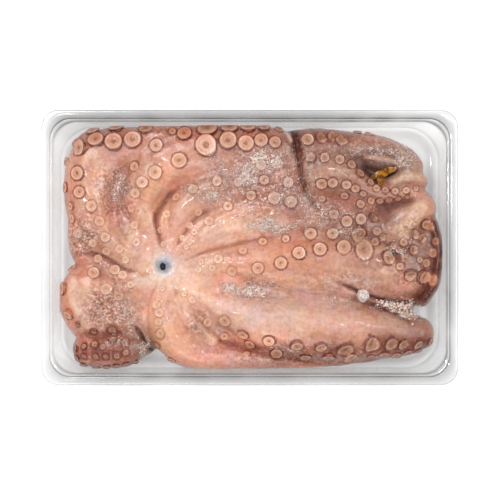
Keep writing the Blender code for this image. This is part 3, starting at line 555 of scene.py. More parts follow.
# Area lights: name, place in metres, size in metres, power in watts
LIGHTS = [
    ("key", (-0.50, 0.60, 1.15), 0.5, 7.0),
    ("fill", (0.8, 0.1, 1.1), 0.6, 4.0),
    ("front", (-0.1, -0.8, 1.0), 0.5, 3.5),
    ("spark_left", (-0.30, 0.10, 1.20), 0.07, 1.6),
    ("spark_right", (0.34, 0.30, 1.15), 0.07, 1.4),
]

GRAINS = 5000
GRAIN_MM = (0.14, 0.42)
MOST_FROSTED = 0.6
LUMP_PARTS = 5
LUMP_SPREAD = 1.6
SEED = 11


def place(plan_x, plan_y, height_mm=0.0):
    """A plan point at a height in mm, as metres."""
    return Vector(((plan_x - PLAN_MIDDLE[0]) * UNIT, (PLAN_MIDDLE[1] - plan_y) * UNIT, height_mm * MM))


def plan_of(points):
    """Plan units of points in metres."""
    return np.column_stack([points[:, 0] / UNIT + PLAN_MIDDLE[0], PLAN_MIDDLE[1] - points[:, 1] / UNIT])


def linear(colour):
    """An sRGB colour from 0 to 255 as linear light."""
    value = np.array(colour, dtype=float) / 255.0
    return np.where(value <= 0.04045, value / 12.92, ((value + 0.055) / 1.055) ** 2.4)


def shade(colour):
    """An sRGB colour as a shader's colour."""
    return (*linear(colour), 1.0)


def add_object(name, bm, material=None, collection=None):
    """A smooth object made from a bmesh, with its faces turned outwards."""
    bmesh.ops.recalc_face_normals(bm, faces=bm.faces[:])
    mesh = bpy.data.meshes.new(name)
    bm.to_mesh(mesh)
    bm.free()
    mesh.shade_smooth()
    if material:
        mesh.materials.append(material)
    obj = bpy.data.objects.new(name, mesh)
    (collection or bpy.context.scene.collection).objects.link(obj)
    return obj


def apply_modifiers(obj):
    graph = bpy.context.evaluated_depsgraph_get()
    shaped = bpy.data.meshes.new_from_object(obj.evaluated_get(graph), depsgraph=graph)
    obj.modifiers.clear()
    obj.data = shaped


def loft(bm, rings, tip=None):
    """A closed skin through rings of points, capped flat at its ends or drawn to a tip at the last."""
    loops = [[bm.verts.new(point) for point in ring] for ring in rings]
    for lower, upper in zip(loops, loops[1:]):
        for index in range(len(lower)):
            after = (index + 1) % len(lower)
            bm.faces.new((lower[index], lower[after], upper[after], upper[index]))
    bm.faces.new(loops[0])
    if tip is None:
        bm.faces.new(loops[-1])
        return
    point = bm.verts.new(tip)
    for index, vertex in enumerate(loops[-1]):
        bm.faces.new((vertex, loops[-1][(index + 1) % len(loops[-1])], point))


def smooth_curve(points):
    """Close samples of a smooth curve through points with any number of columns."""
    knots = np.array(points, dtype=float)
    padded = np.vstack([2 * knots[0] - knots[1], knots, 2 * knots[-1] - knots[-2]])
    samples = []
    for index in range(len(knots) - 1):
        before, start, end, after = padded[index:index + 4]
        for step in range(CURVE_STEPS):
            t = step / CURVE_STEPS
            bend = 2 * before - 5 * start + 4 * end - after
            swing = 3 * start - before - 3 * end + after
            samples.append(start + 0.5 * ((end - before) * t + bend * t ** 2 + swing * t ** 3))
    samples.append(knots[-1])
    return np.array(samples)


def resample(curve, measure, count):
    """Samples at equal steps of a measure that grows along the curve."""
    targets = np.linspace(0.0, measure[-1], count)
    return np.column_stack([np.interp(targets, measure, column) for column in curve.T])


def plan_length(curve):
    steps = np.linalg.norm(np.diff(curve[:, :2], axis=0), axis=1)
    return np.concatenate([[0.0], np.cumsum(steps)])


def noise(points, size, seed):
    """Smooth noise from -1 to 1 at points, with features of a size in metres."""
    cells = points / size + 1000.0
    base = np.floor(cells).astype(np.int64)
    blend = cells - base
    blend = blend * blend * (3 - 2 * blend)
    total = np.zeros(len(points))
    for corner in itertools.product((0, 1), repeat=3):
        key = base + np.array(corner)
        code = (key[:, 0] * 73856093) ^ (key[:, 1] * 19349663) ^ (key[:, 2] * 83492791) ^ (seed * 6971)
        code = (code ^ (code >> 13)) * 1274126177 & 0x7FFFFFFF
        code = (code ^ (code >> 15)) * 668265263 & 0x7FFFFFFF
        weight = np.prod(np.where(np.array(corner), blend, 1 - blend), axis=1)
        total += weight * (code / 0x3FFFFFFF - 1.0)
    return total


# Camera, floor and light


def set_camera():
    """A camera straight above the tray, framed so that the rim lies as in the photo."""
    rim_distance = CAMERA_HEIGHT - TRAY_HEIGHT
    metres_per_pixel = TRAY_LENGTH / RIM_PIXELS
    data = bpy.data.cameras.new("camera")
    data.sensor_width = SENSOR
    data.lens = SENSOR * rim_distance / (IMAGE_SIZE * metres_per_pixel)
    camera = bpy.data.objects.new("camera", data)
    middle = IMAGE_SIZE / 2
    camera.location = ((middle - RIM_MIDDLE[0]) * metres_per_pixel,
                       (RIM_MIDDLE[1] - middle) * metres_per_pixel, CAMERA_HEIGHT)
    bpy.context.scene.collection.objects.link(camera)
    bpy.context.scene.camera = camera


def shader_of(material):
    return material.node_tree.nodes["Principled BSDF"]


def set_sockets(material, values):
    for name, value in values.items():
        shader_of(material).inputs[name].default_value = value


def new_material(name, colour, roughness):
    material = bpy.data.materials.new(name)
    material.use_nodes = True
    set_sockets(material, {"Base Color": shade(colour), "Roughness": roughness})
    return material


def set_stage():
    """A white floor that stays white under the tray, and soft light from above."""
    bm = bmesh.new()
    bmesh.ops.create_grid(bm, x_segments=1, y_segments=1, size=FLOOR_SIZE)
    floor_look = new_material("floor_white", (240, 240, 240), 0.9)
    set_sockets(floor_look, {"Specular IOR Level": 0.0, "Emission Color": WHITE,
                             "Emission Strength": FLOOR_GLOW})
    floor = add_object("floor", bm, floor_look)
    floor.location.z = -FLOOR_DROP
    world = bpy.data.worlds.new("studio")
    world.use_nodes = True
    world.node_tree.nodes["Background"].inputs["Color"].default_value = WHITE
    world.node_tree.nodes["Background"].inputs["Strength"].default_value = ROOM_LIGHT
    bpy.context.scene.world = world
    bpy.context.scene.view_settings.view_transform = "Standard"
    for name, spot, size, power in LIGHTS:
        light = bpy.data.lights.new(name, "AREA")
        light.size = size
        light.energy = power
        lamp = bpy.data.objects.new(name, light)
        lamp.location = spot
        lamp.rotation_euler = (Vector((0, 0, 0.03)) - Vector(spot)).to_track_quat("-Z", "Y").to_euler()
        bpy.context.scene.collection.objects.link(lamp)


# Tray


def inner_profile():
    """The tray's inner face from floor to rim: inset from the rim's edge, height, corner radius."""
    wall_top = RIM_WIDTH + SEAT_WIDTH + 0.5 * MM
    wall_foot = wall_top + WALL_DRAFT
    edge = FLOOR_FILLET + FLOOR_EDGE
    stations = [(wall_foot + edge, PLASTIC, FLOOR_CORNER - edge)]
    for step in range(FILLET_STEPS + 1):
        angle = 0.5 * math.pi * step / FILLET_STEPS
        inward = FLOOR_FILLET * (1 - math.sin(angle))
        height = PLASTIC + FLOOR_FILLET * (1 - math.cos(angle))
        stations.append((wall_foot + inward, height, FLOOR_CORNER - inward))
    seat = TRAY_HEIGHT - SEAT_DROP
    foot = stations[-1]
    top = (wall_top, seat - 1.8 * MM, SEAT_CORNER)
    for step in range(1, WALL_STEPS + 1):
        share = step / WALL_STEPS
        stations.append(tuple(low + (high - low) * share for low, high in zip(foot, top)))
    stations.append((RIM_WIDTH + SEAT_WIDTH, seat - 0.3 * MM, SEAT_CORNER))
    stations.append((RIM_WIDTH + SEAT_WIDTH - 0.4 * MM, seat, SEAT_CORNER - 0.4 * MM))
    stations.append((RIM_WIDTH + 0.5 * MM, seat, SEAT_CORNER - SEAT_WIDTH))
    stations.append((RIM_WIDTH + 0.2 * MM, seat + 0.4 * MM, SEAT_CORNER - SEAT_WIDTH))
    stations.append((RIM_WIDTH, TRAY_HEIGHT - 0.3 * MM, SEAT_CORNER - SEAT_WIDTH))
    stations.append((RIM_WIDTH - 0.4 * MM, TRAY_HEIGHT, SEAT_CORNER - SEAT_WIDTH))
    return stations


def rim_profile():
    """The rim's top from its inner edge outwards, with the lip that turns down."""
    return [(0.9 * MM, TRAY_HEIGHT, RIM_CORNER - 0.9 * MM),
            (0.3 * MM, TRAY_HEIGHT - 0.25 * MM, RIM_CORNER - 0.3 * MM),
            (0.0, TRAY_HEIGHT - 0.9 * MM, RIM_CORNER),
            (0.0, TRAY_HEIGHT - LIP_DROP, RIM_CORNER)]


def offset_profile(stations, distance):
    """The profile moved a distance to its outer side."""
    points = np.array(stations)
    steps = np.diff(points[:, :2], axis=0)
    steps /= np.linalg.norm(steps, axis=1)[:, None]
    sides = np.column_stack([-steps[:, 1], steps[:, 0]])
    before = np.vstack([sides[0], sides])
    after = np.vstack([sides, sides[-1]])
    miter = (before + after) / (1 + np.sum(before * after, axis=1))[:, None]
    moved = points.copy()
    moved[:, :2] += miter * distance
    moved[:, 2] -= miter[:, 0] * distance
    return moved.tolist()


def rib(along, height):
    """How far a wall's ribs stand in at a place along a side and at a height."""
    across = abs((along / RIB_PITCH + 0.5) % 1.0 - 0.5) * RIB_PITCH / RIB_HALF
    if across >= 1.0:
        return 0.0
    rise = max(0.0, min(1.0, (height - RIB_FOOT) / RIB_RISE, (RIB_HEAD - height) / RIB_FALL))
    return RIB_DEPTH * rise * math.cos(0.5 * math.pi * across) ** 2


def tray_ring(inset, height, radius):
    """A rounded rectangle at an inset from the rim's edge, with the walls' ribs."""
    half = (TRAY_LENGTH / 2 - inset, TRAY_WIDTH / 2 - inset)
    ring = []
    for corner in range(4):
        signs = ((1, 1), (-1, 1), (-1, -1), (1, -1))[corner]
        middle = (signs[0] * (half[0] - radius), signs[1] * (half[1] - radius))
        for step in range(CORNER_STEPS + 1):
            angle = 0.5 * math.pi * (corner + step / CORNER_STEPS)
            ring.append((middle[0] + radius * math.cos(angle), middle[1] + radius * math.sin(angle), height))
        axis = corner % 2
        reach = (TRAY_LENGTH, TRAY_WIDTH)[axis] / 2 - FLOOR_CORNER
        count = round(2 * reach / SIDE_STEP)
        for step in range(1, count):
            along = (half[axis] - radius) * (1 - 2 * step / count)
            inward = rib(along, height)
            if axis == 0:
                side = 1 if corner == 0 else -1
                ring.append((along * side, side * (half[1] - inward), height))
            else:
                side = 1 if corner == 3 else -1
                ring.append((side * (half[0] - inward), -along * side, height))
    return ring


def plastic_look():
    """Thin clear plastic: it lets light through, greys at a slant, and shines a little."""
    material = bpy.data.materials.new("clear_plastic_film")
    material.use_nodes = True
    tree = material.node_tree
    tree.nodes.clear()
    output = tree.nodes.new("ShaderNodeOutputMaterial")
    mixed = tree.nodes.new("ShaderNodeMixShader")
    clear = tree.nodes.new("ShaderNodeBsdfTransparent")
    gloss = tree.nodes.new("ShaderNodeBsdfGlossy")
    slant = tree.nodes.new("ShaderNodeLayerWeight")
    film = tree.nodes.new("ShaderNodeAttribute")
    film.attribute_name = "film"
    tint = tree.nodes.new("ShaderNodeMix")
    tint.data_type = "RGBA"
    tint.inputs["B"].default_value = (0.5, 0.5, 0.49, 1.0)
    steep = tree.nodes.new("ShaderNodeMath")
    steep.operation = "POWER"
    steep.inputs[1].default_value = 6.0
    shine = tree.nodes.new("ShaderNodeMapRange")
    shine.inputs["From Min"].default_value = 0.3
    shine.inputs["To Min"].default_value = 0.04
    shine.inputs["To Max"].default_value = 0.22
    slant.inputs["Blend"].default_value = 0.3
    gloss.inputs["Roughness"].default_value = 0.08
    gloss.inputs["Color"].default_value = (1.0, 1.0, 1.0, 1.0)
    links = tree.links
    links.new(film.outputs["Color"], tint.inputs["A"])
    links.new(slant.outputs["Facing"], steep.inputs[0])
    links.new(steep.outputs["Value"], tint.inputs["Factor"])
    links.new(slant.outputs["Facing"], shine.inputs["Value"])
    links.new(tint.outputs["Result"], clear.inputs["Color"])
    links.new(shine.outputs["Result"], mixed.inputs["Fac"])
    links.new(clear.outputs["BSDF"], mixed.inputs[1])
    links.new(gloss.outputs["BSDF"], mixed.inputs[2])
    links.new(mixed.outputs["Shader"], output.inputs["Surface"])
    return material


def paint_film(mesh, ring, stations):
    """How clear the plastic is at each point, with painted shade that differs by side, painted light towards
    the far side's right end, and painted dark lines where its profile turns.
    """
    points = read_points(mesh)
    station = np.arange(len(points)) // ring
    station = np.minimum(station, 2 * stations - 1 - station)
    gaps = np.column_stack([TRAY_LENGTH / 2 + points[:, 0], TRAY_LENGTH / 2 - points[:, 0],
                            TRAY_WIDTH / 2 - points[:, 1], TRAY_WIDTH / 2 + points[:, 1]])
    sides = np.exp(-gaps / 0.008)
    sides /= sides.sum(axis=1)[:, None]
    # Painted shade: each side of the film lets through a different share of light
    clear = np.where(station > LAST_WALL_STATION, sides @ FILM_RIM, sides @ FILM_WALL)
    # Painted light: the far side is lighter towards its right end
    clear += 0.10 * sides[:, 2] * np.clip((points[:, 0] - 0.05) / 0.05, 0.0, 1.0)
    clear += 0.015 * noise(points, 0.03, 41) + 0.012 * noise(points, 0.009, 42)
    # Painted shade: dark lines where the profile turns
    marks = np.array([FILM_SHADE_STATIONS.get(index, 0.0) for index in range(stations)])[station]
    clear *= 1 - 0.62 * marks * (sides @ FILM_LINES) * (1 + 0.25 * noise(points, 0.012, 43))
    clear[station == 0] = FILM_FLOOR
    clear = np.clip(clear, 0.0, 1.0)
    write_colours(mesh, "film", clear, clear, clear)


def build_tray():
    inner = inner_profile() + rim_profile()
    outer = offset_profile(inner, SHELL)
    rings = [tray_ring(*station) for station in inner + outer[::-1]]
    bm = bmesh.new()
    loft(bm, rings)
    tray = add_object("tray_shell", bm, plastic_look())
    tray.data.set_sharp_from_angle(angle=math.radians(50))
    paint_film(tray.data, len(rings[0]), len(inner))
    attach(tray, "root")
    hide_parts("tray")


def keep_in_tray(points, gap):
    """Points that would pass the tray's inner face, moved back to a gap clear of it."""
    insets, heights, radii = np.array(inner_profile()).T
    kept = points.copy()
    kept[:, 2] = np.maximum(points[:, 2], PLASTIC + gap)
    inset = np.interp(kept[:, 2], heights, insets) + gap
    radius = np.interp(kept[:, 2], heights, radii) - gap
    corner = np.column_stack([TRAY_LENGTH / 2 - inset - radius, TRAY_WIDTH / 2 - inset - radius])
    plan = np.abs(points[:, :2])
    beyond = np.maximum(plan - corner, 0.0)
    reach = np.maximum(np.linalg.norm(beyond, axis=1), 1e-9)
    held = corner + beyond * np.minimum(1.0, radius / reach)[:, None]
    kept[:, :2] = np.copysign(np.where(plan > corner, held, plan), points[:, :2])
    return kept


# Octopus body


def field(plan, middle, half):
    """A soft field from 1 in its middle to 0 outside its half sizes."""
    away = np.hypot((plan[:, 0] - middle[0]) / half[0], (plan[:, 1] - middle[1]) / half[1])
    return np.clip(1.45 - 1.1 * away, 0.0, 1.0) ** 1.3


def strongest(points, fields):
    """The strongest of several fields at each point, with ragged edges."""
    plan = plan_of(points)
    flat = points * np.array([1, 1, 0])
    plan = plan + np.column_stack([noise(flat, 0.007, 15), noise(flat, 0.007, 16)]) * 5
    amount = np.zeros(len(points))
    for middle, half, strength in fields:
        amount = np.maximum(amount, strength * field(plan, middle, half))
    return amount


def rough_amount(points):
    return strongest(points, ROUGH_FIELDS)


def rounded(value, power):
    """A cosine or sine bent towards a rounded square."""
    return math.copysign(abs(value) ** (2 / power), value)


def add_tube(bm, stations):
    """An arm: a full rounded section carried along its stations, with domed ends."""
    curve = smooth_curve(stations)
    length = plan_length(curve)
    run = resample(curve, length, max(3, round(length[-1] * UNIT / TUBE_STEP)))
    middles = [place(x, y) for x, y, half, top in run]
    rings = []
    for index, (x, y, half, top) in enumerate(run):
        along = (middles[min(index + 1, len(run) - 1)] - middles[max(index - 1, 0)]).normalized()
        rings.append((middles[index], along, half * UNIT, top, 1.0))
    for end, direction in ((rings[0], -1), (rings[-1], 1)):
        middle, along, half, top, _ = end
        domes = []
        for step in range(1, CAP_RINGS + 1):
            angle = 0.46 * math.pi * step / CAP_RINGS
            domes.append((middle + along * direction * half * 0.8 * math.sin(angle), along, half, top,
                          math.cos(angle)))
        rings = rings + domes if direction > 0 else domes[::-1] + rings
    skins = []
    for middle, along, half, top, shrink in rings:
        side = Vector((along.y, -along.x, 0))
        centre = (top + FLOOR_DEPTH) / 2 * MM
        rise = (top - FLOOR_DEPTH) / 2 * MM * shrink
        skin = []
        for index in range(SECTION_SIDES):
            angle = 2 * math.pi * index / SECTION_SIDES
            across = half * shrink * rounded(math.cos(angle), SECTION_POWER)
            up = centre + rise * rounded(math.sin(angle), SECTION_POWER)
            skin.append(middle + side * across + Vector((0, 0, up)))
        skins.append(skin)
    loft(bm, skins)


def add_mound(bm, middle, half, top, power):
    centre = (top + FLOOR_DEPTH) / 2
    rise = (top - FLOOR_DEPTH) / 2
    rings = []
    for level in range(MOUND_RINGS + 1):
        tilt = math.pi * ((level + 0.3) / (MOUND_RINGS + 0.6) - 0.5)
        height = centre + rise * rounded(math.sin(tilt), power)
        spread = rounded(math.cos(tilt), power)
        ring = []
        for index in range(MOUND_SIDES):
            angle = 2 * math.pi * index / MOUND_SIDES
            ring.append(place(middle[0] + half[0] * spread * rounded(math.cos(angle), power),
                              middle[1] + half[1] * spread * rounded(math.sin(angle), power), height))
        rings.append(ring)
    loft(bm, rings)


def read_points(mesh):
    flat = np.empty(len(mesh.vertices) * 3)
    mesh.vertices.foreach_get("co", flat)
    return flat.reshape(-1, 3)


def read_normals(mesh):
    flat = np.empty(len(mesh.vertices) * 3)
    mesh.vertex_normals.foreach_get("vector", flat)
    return flat.reshape(-1, 3)


def write_points(mesh, points):
    mesh.vertices.foreach_set("co", points.ravel())
    mesh.update()


def write_colours(mesh, name, *channels):
    """A colour for each point of a mesh, kept under a name."""
    colours = mesh.color_attributes.new(name, "FLOAT_COLOR", "POINT")
    colours.data.foreach_set("color", np.column_stack([*channels, np.ones(len(mesh.vertices))]).ravel())


def near_line(points, line, reach):
    """The points within a reach of a plan line, with each one's distance and share of the way along."""
    low = line.min(axis=0) - reach
    high = line.max(axis=0) + reach
    chosen = np.flatnonzero(np.all((points > low) & (points < high), axis=1))
    close = points[chosen]
    best = np.full(len(close), np.inf)
    share = np.zeros(len(close))
    for index, (start, end) in enumerate(zip(line, line[1:])):
        step = end - start
        t = np.clip(((close - start) @ step) / (step @ step), 0.0, 1.0)
        gap = np.linalg.norm(close - start - t[:, None] * step, axis=1)
        nearer = gap < best
        best[nearer] = gap[nearer]
        share[nearer] = (index + t[nearer]) / (len(line) - 1)
    inside = best < reach
    return chosen[inside], best[inside], share[inside]


def press_grooves(points):
    """Lower the skin along each groove, less towards the groove's ends."""
    pressed = points.copy()
    plan = plan_of(points)
    for line, depth, half in GROOVES.values():
        width = half * MM / UNIT
        near, gap, share = near_line(plan, smooth_curve(line), 2.6 * width)
        fade = np.clip(6 * share, 0.3, 1.0) * np.clip(6 * (1 - share), 0.3, 1.0)
        upper = np.clip((points[near, 2] / MM - 12) / 8, 0.0, 1.0)
        pressed[near, 2] -= depth * MM * fade * upper * np.exp(-(gap / width) ** 2)
    return pressed


def read_edges(mesh):
    edges = np.empty(len(mesh.edges) * 2, dtype=np.int64)
    mesh.edges.foreach_get("vertices", edges)
    return edges.reshape(-1, 2)


def relax(values, edges, rounds):
    """Values averaged over the mesh's neighbours."""
    ends = np.concatenate([edges[:, 0], edges[:, 1]])
    others = np.concatenate([edges[:, 1], edges[:, 0]])
    count = np.maximum(np.bincount(ends, minlength=len(values)), 1)
    for _ in range(rounds):
        values = 0.5 * values + 0.5 * np.bincount(ends, weights=values[others], minlength=len(values)) / count
    return values


def fill_valleys(points, edges):
    """Raise the valleys between arms, where the flesh is pressed together."""
    level = relax(points[:, 2], edges, VALLEY_ROUNDS)
    share = np.interp(plan_of(points)[:, 0], VALLEY_PLAN_X, VALLEY_FILL)
    upper = np.clip((points[:, 2] / MM - 18) / 6, 0.0, 1.0)
    filled = points.copy()
    filled[:, 2] += share * upper * np.maximum(level - points[:, 2], 0.0)
    return filled


def build_body():
    """The arms, web and underside as one skin, settled into the tray, with its unevenness."""
    bm = bmesh.new()
    for stations in ARMS.values():
        add_tube(bm, stations)
    add_mound(bm, *UNDERSIDE)
    add_mound(bm, *ORAL_DISC)
    body = add_object("octopus_body", bm)
    skin = body.modifiers.new("Skin", "REMESH")
    skin.mode = "VOXEL"
    skin.voxel_size = VOXEL
    settle = body.modifiers.new("Settle", "SMOOTH")
    settle.factor = 0.5
    settle.iterations = SMOOTHING_ROUNDS
    apply_modifiers(body)
    points = press_grooves(fill_valleys(read_points(body.data), read_edges(body.data)))
    write_points(body.data, points)
    rough = rough_amount(points)
    swell = 0.5 * noise(points, 0.011, 1) + 0.28 * noise(points, 0.0048, 2) + 0.10 * noise(points, 0.0026, 17)
    swell += rough * (0.36 * noise(points, 0.0034, 3) + 0.28 * noise(points, 0.0019, 4))
    points = points + read_normals(body.data) * (swell * MM)[:, None]
    write_points(body.data, keep_in_tray(points, BODY_GAP))
    return body


# Suckers


def surface_tree(mesh):
    return BVHTree.FromPolygons([vertex.co for vertex in mesh.vertices],
                                [polygon.vertices for polygon in mesh.polygons])


def surface_at(tree, plan_x, plan_y, spread):
    """The highest skin over a plan point, and its mean normal over a spread in plan units."""
    middle = None
    normal = Vector((0, 0, 0))
    for turn in range(9):
        reach = spread if turn else 0.0
        angle = 0.25 * math.pi * turn
        start = place(plan_x + reach * math.cos(angle), plan_y + reach * math.sin(angle), TRAY_HEIGHT / MM)
        hit, facing, _, _ = tree.ray_cast(start, Vector((0, 0, -1)))
        if hit is None:
            continue
        normal += facing
        if middle is None:
            middle = hit
    return middle, normal.normalized()


def sucker_places():
    """Every sucker as (plan x, plan y, radius, lean), made smaller where another leaves it little room."""
    kept = []
    for x, y, radius, *lean in itertools.chain.from_iterable(SUCKER_ROWS.values()):
        room = min((CROWDING * math.hypot(x - other[0], y - other[1]) - other[2] for other in kept),
                   default=radius)
        if lean:
            kept.append((x, y, radius, lean))
        elif room > LEAST_SHRINK * radius:
            kept.append((x, y, min(radius, room), (0, 0)))
    return kept


def add_sucker(bm, middle, axis, radius, chance):
    """One sucker, a little out of round, from its root in the skin over its lip to its cup."""
    across = axis.orthogonal().normalized()
    beside = axis.cross(across)
    rise = SUCKER_RISE * radius + SUCKER_RISE_MM * MM
    sides = 28 if radius > 5 * UNIT else 20
    phase = chance.uniform(0, 2 * math.pi, 3)
    depth = 0.06 + 0.05 * chance.random()
    rings = []
    for share, height in SUCKER_SECTION:
        ring = []
        for index in range(sides):
            angle = 2 * math.pi * index / sides
            out = 1 + 0.06 * math.sin(2 * angle + phase[0]) + 0.04 * math.sin(3 * angle + phase[1])
            out = radius * share * (out + 0.02 * math.sin(5 * angle + phase[2]))
            lift = -SUCKER_SUNK_MM * MM if height is None else height * rise
            lift += depth * radius * share * math.sin(angle + phase[2]) * (height is not None)
            ring.append(middle + axis * lift + (across * math.cos(angle) + beside * math.sin(angle)) * out)
        rings.append(keep_in_tray(np.array(ring), SUCKER_GAP))
    tip = np.array([middle + axis * (0.45 * rise)])
    loft(bm, rings, keep_in_tray(tip, SUCKER_GAP)[0])


def add_suckers(body, tree):
    """Join the suckers to the body, and give each as (middle, axis, radius, rise)."""
    chance = np.random.default_rng(SEED)
    suckers = bpy.data.collections.new("Suckers")
    bpy.context.scene.collection.children.link(suckers)
    placed = []
    for index, (x, y, radius, lean) in enumerate(sucker_places()):
        middle, normal = surface_at(tree, x, y, 0.7 * radius)
        if middle is None:
            print("No skin under the sucker at", x, y)
            continue
        normal = (normal + Vector((lean[0], -lean[1], 0))).normalized()
        if normal.z < STEEPEST_SUCKER:
            flat = Vector((normal.x, normal.y, 0)).normalized() * math.sqrt(1 - STEEPEST_SUCKER ** 2)
            normal = Vector((flat.x, flat.y, STEEPEST_SUCKER))
        bm = bmesh.new()
        add_sucker(bm, middle, normal, radius * UNIT, chance)
        add_object(f"sucker_{index}", bm, None, suckers)
        placed.append((middle, normal, radius * UNIT, SUCKER_RISE * radius * UNIT + SUCKER_RISE_MM * MM))
    union = body.modifiers.new("Union", "BOOLEAN")
    union.operation = "UNION"
    union.operand_type = "COLLECTION"
    union.collection = suckers
    union.solver = "MANIFOLD"
    apply_modifiers(body)
    for obj in list(suckers.objects):
        bpy.data.objects.remove(obj, do_unlink=True)
    bpy.data.collections.remove(suckers)
    return placed


# Colour of the skin


def mix(first, second, share):
    """Two colours mixed by a share for each point."""
    return first + (second - first) * np.asarray(share)[:, None]


def nearest_suckers(points, placed):
    """For each point its nearest sucker's index, and its place in it: share of radius and of rise."""
    best = np.full(len(points), np.inf)
    which = np.zeros(len(points), dtype=int)
    out = np.full(len(points), 9.0)
    lift = np.zeros(len(points))
    for index, (middle, axis, radius, rise) in enumerate(placed):
        away = points - np.array(middle)
        close = np.linalg.norm(away, axis=1) < 2.2 * radius
        up = away[close] @ np.array(axis)
        side = np.linalg.norm(away[close] - up[:, None] * np.array(axis), axis=1) / radius
        nearer = side < best[close]
        chosen = np.flatnonzero(close)[nearer]
        best[chosen] = side[nearer]
        out[chosen] = side[nearer]
        lift[chosen] = up[nearer] / rise
        which[chosen] = index
    return which, out, lift


def frost_amount(points):
    flat = points * np.array([1, 1, 0])
    patches = 0.55 + 0.55 * noise(flat, 0.0052, 21) + 0.5 * noise(flat, 0.0021, 22)
    return np.clip(strongest(points, FROST_FIELDS) * (0.25 + patches), 0.0, 1.0)


def streaks(plan):
    """Fine streaks that run out from the mouth, from -1 to 1."""
    away = plan - np.array(MOUTH)
    reach = np.hypot(away[:, 0], away[:, 1])
    turn = np.arctan2(away[:, 1], away[:, 0])
    near = noise(np.column_stack([turn, reach / 60, turn * 0]), 0.05, 12)
    far = noise(np.column_stack([turn, reach / 90, turn * 0]), 0.018, 13)
    blend = np.clip((reach - 30) / 70, 0.0, 1.0)
    return near * (1 - blend) + far * blend


def paint_skin(points, hollow, crease):
    """The skin's colour away from the suckers, with painted shade in hollows, creases and folds and painted
    highlights on ridges and wet glints.
    """
    plan = plan_of(points)
    colour = np.tile(linear(ARM_SKIN), (len(points), 1))
    wobble = np.column_stack([noise(points, 0.012, 5), noise(points, 0.012, 6)]) * 7
    for middle, half, shade, strength in SKIN_FIELDS:
        colour = mix(colour, linear(shade), strength * field(plan + wobble, middle, half))
    low = np.clip((31 - points[:, 2] / MM) / 13, 0.0, 1.0)
    colour = mix(colour, linear(FOLD_RED), 0.7 * low)
    blotch = noise(points, 0.0062, 7) + 0.7 * noise(points, 0.0028, 8)
    rough = np.clip(rough_amount(points) * (0.85 + 0.6 * noise(points, 0.009, 71)), 0.0, 1.0)
    colour = mix(colour, linear(BLOTCH), np.clip(blotch - 0.15, 0.0, 1.0) * (0.12 + 0.42 * rough))
    colour = mix(colour, linear(WHITE_SKIN), np.clip(-blotch - 0.35, 0.0, 1.0) * (0.22 + 0.25 * rough))
    # Painted highlight: skin that stands above its surroundings is lighter
    colour = mix(colour, linear(WHITE_SKIN), np.clip(-hollow * 0.30 - 0.02, 0.0, 0.25))
    # Painted shade and light with the skin's own tone, and mottling where the skin is rough
    shade_and_tone = np.ones(len(points))
    for middle, half, factor in SHADE_AND_TONES:
        shade_and_tone *= 1 + (factor - 1) * field(plan + wobble, middle, half)
    colour *= (shade_and_tone * (1 + 0.24 * rough * (noise(points, 0.010, 72) + noise(points, 0.0040, 73))))[:, None]
    hue = noise(points, 0.0075, 51) + 0.6 * noise(points, 0.0034, 52)
    tint = noise(points, 0.011, 53) + 0.6 * noise(points, 0.0045, 54)
    yellowing = hue[:, None] * np.array([0.02, -0.01, -0.14])
    pinking = tint[:, None] * np.array([0.03, -0.08, -0.05])
    colour *= 1 + yellowing + pinking
    # Painted shade: the skin is darker in hollows and creases
    colour = mix(colour, colour * np.array(FOLD_SHADE), np.clip(hollow * 0.4 - 0.05, 0.0, 0.5))
    colour = mix(colour, colour * np.array(FOLD_SHADE), np.clip(crease * 1.8 - 0.08, 0.0, 0.9))
    for line, half, shade, strength in SKIN_LINES:
        near, gap, share = near_line(plan + wobble * 0.25, smooth_curve(line), 2.4 * half)
        ends = np.clip(8 * share, 0.0, 1.0) * np.clip(8 * (1 - share), 0.0, 1.0)
        edge = np.exp(-(gap / half) ** 3) * (0.85 + 0.35 * noise(points[near], 0.003, 9))
        colour[near] = mix(colour[near], linear(shade), np.clip(strength * ends * edge, 0.0, 1.0))
    lighter = 1 + 0.06 * streaks(plan) + 0.05 * noise(points, 0.017, 10) + 0.05 * noise(points, 0.0022, 11)
    return colour * lighter[:, None] * np.array(SKIN_DEPTH), rough, shade_and_tone


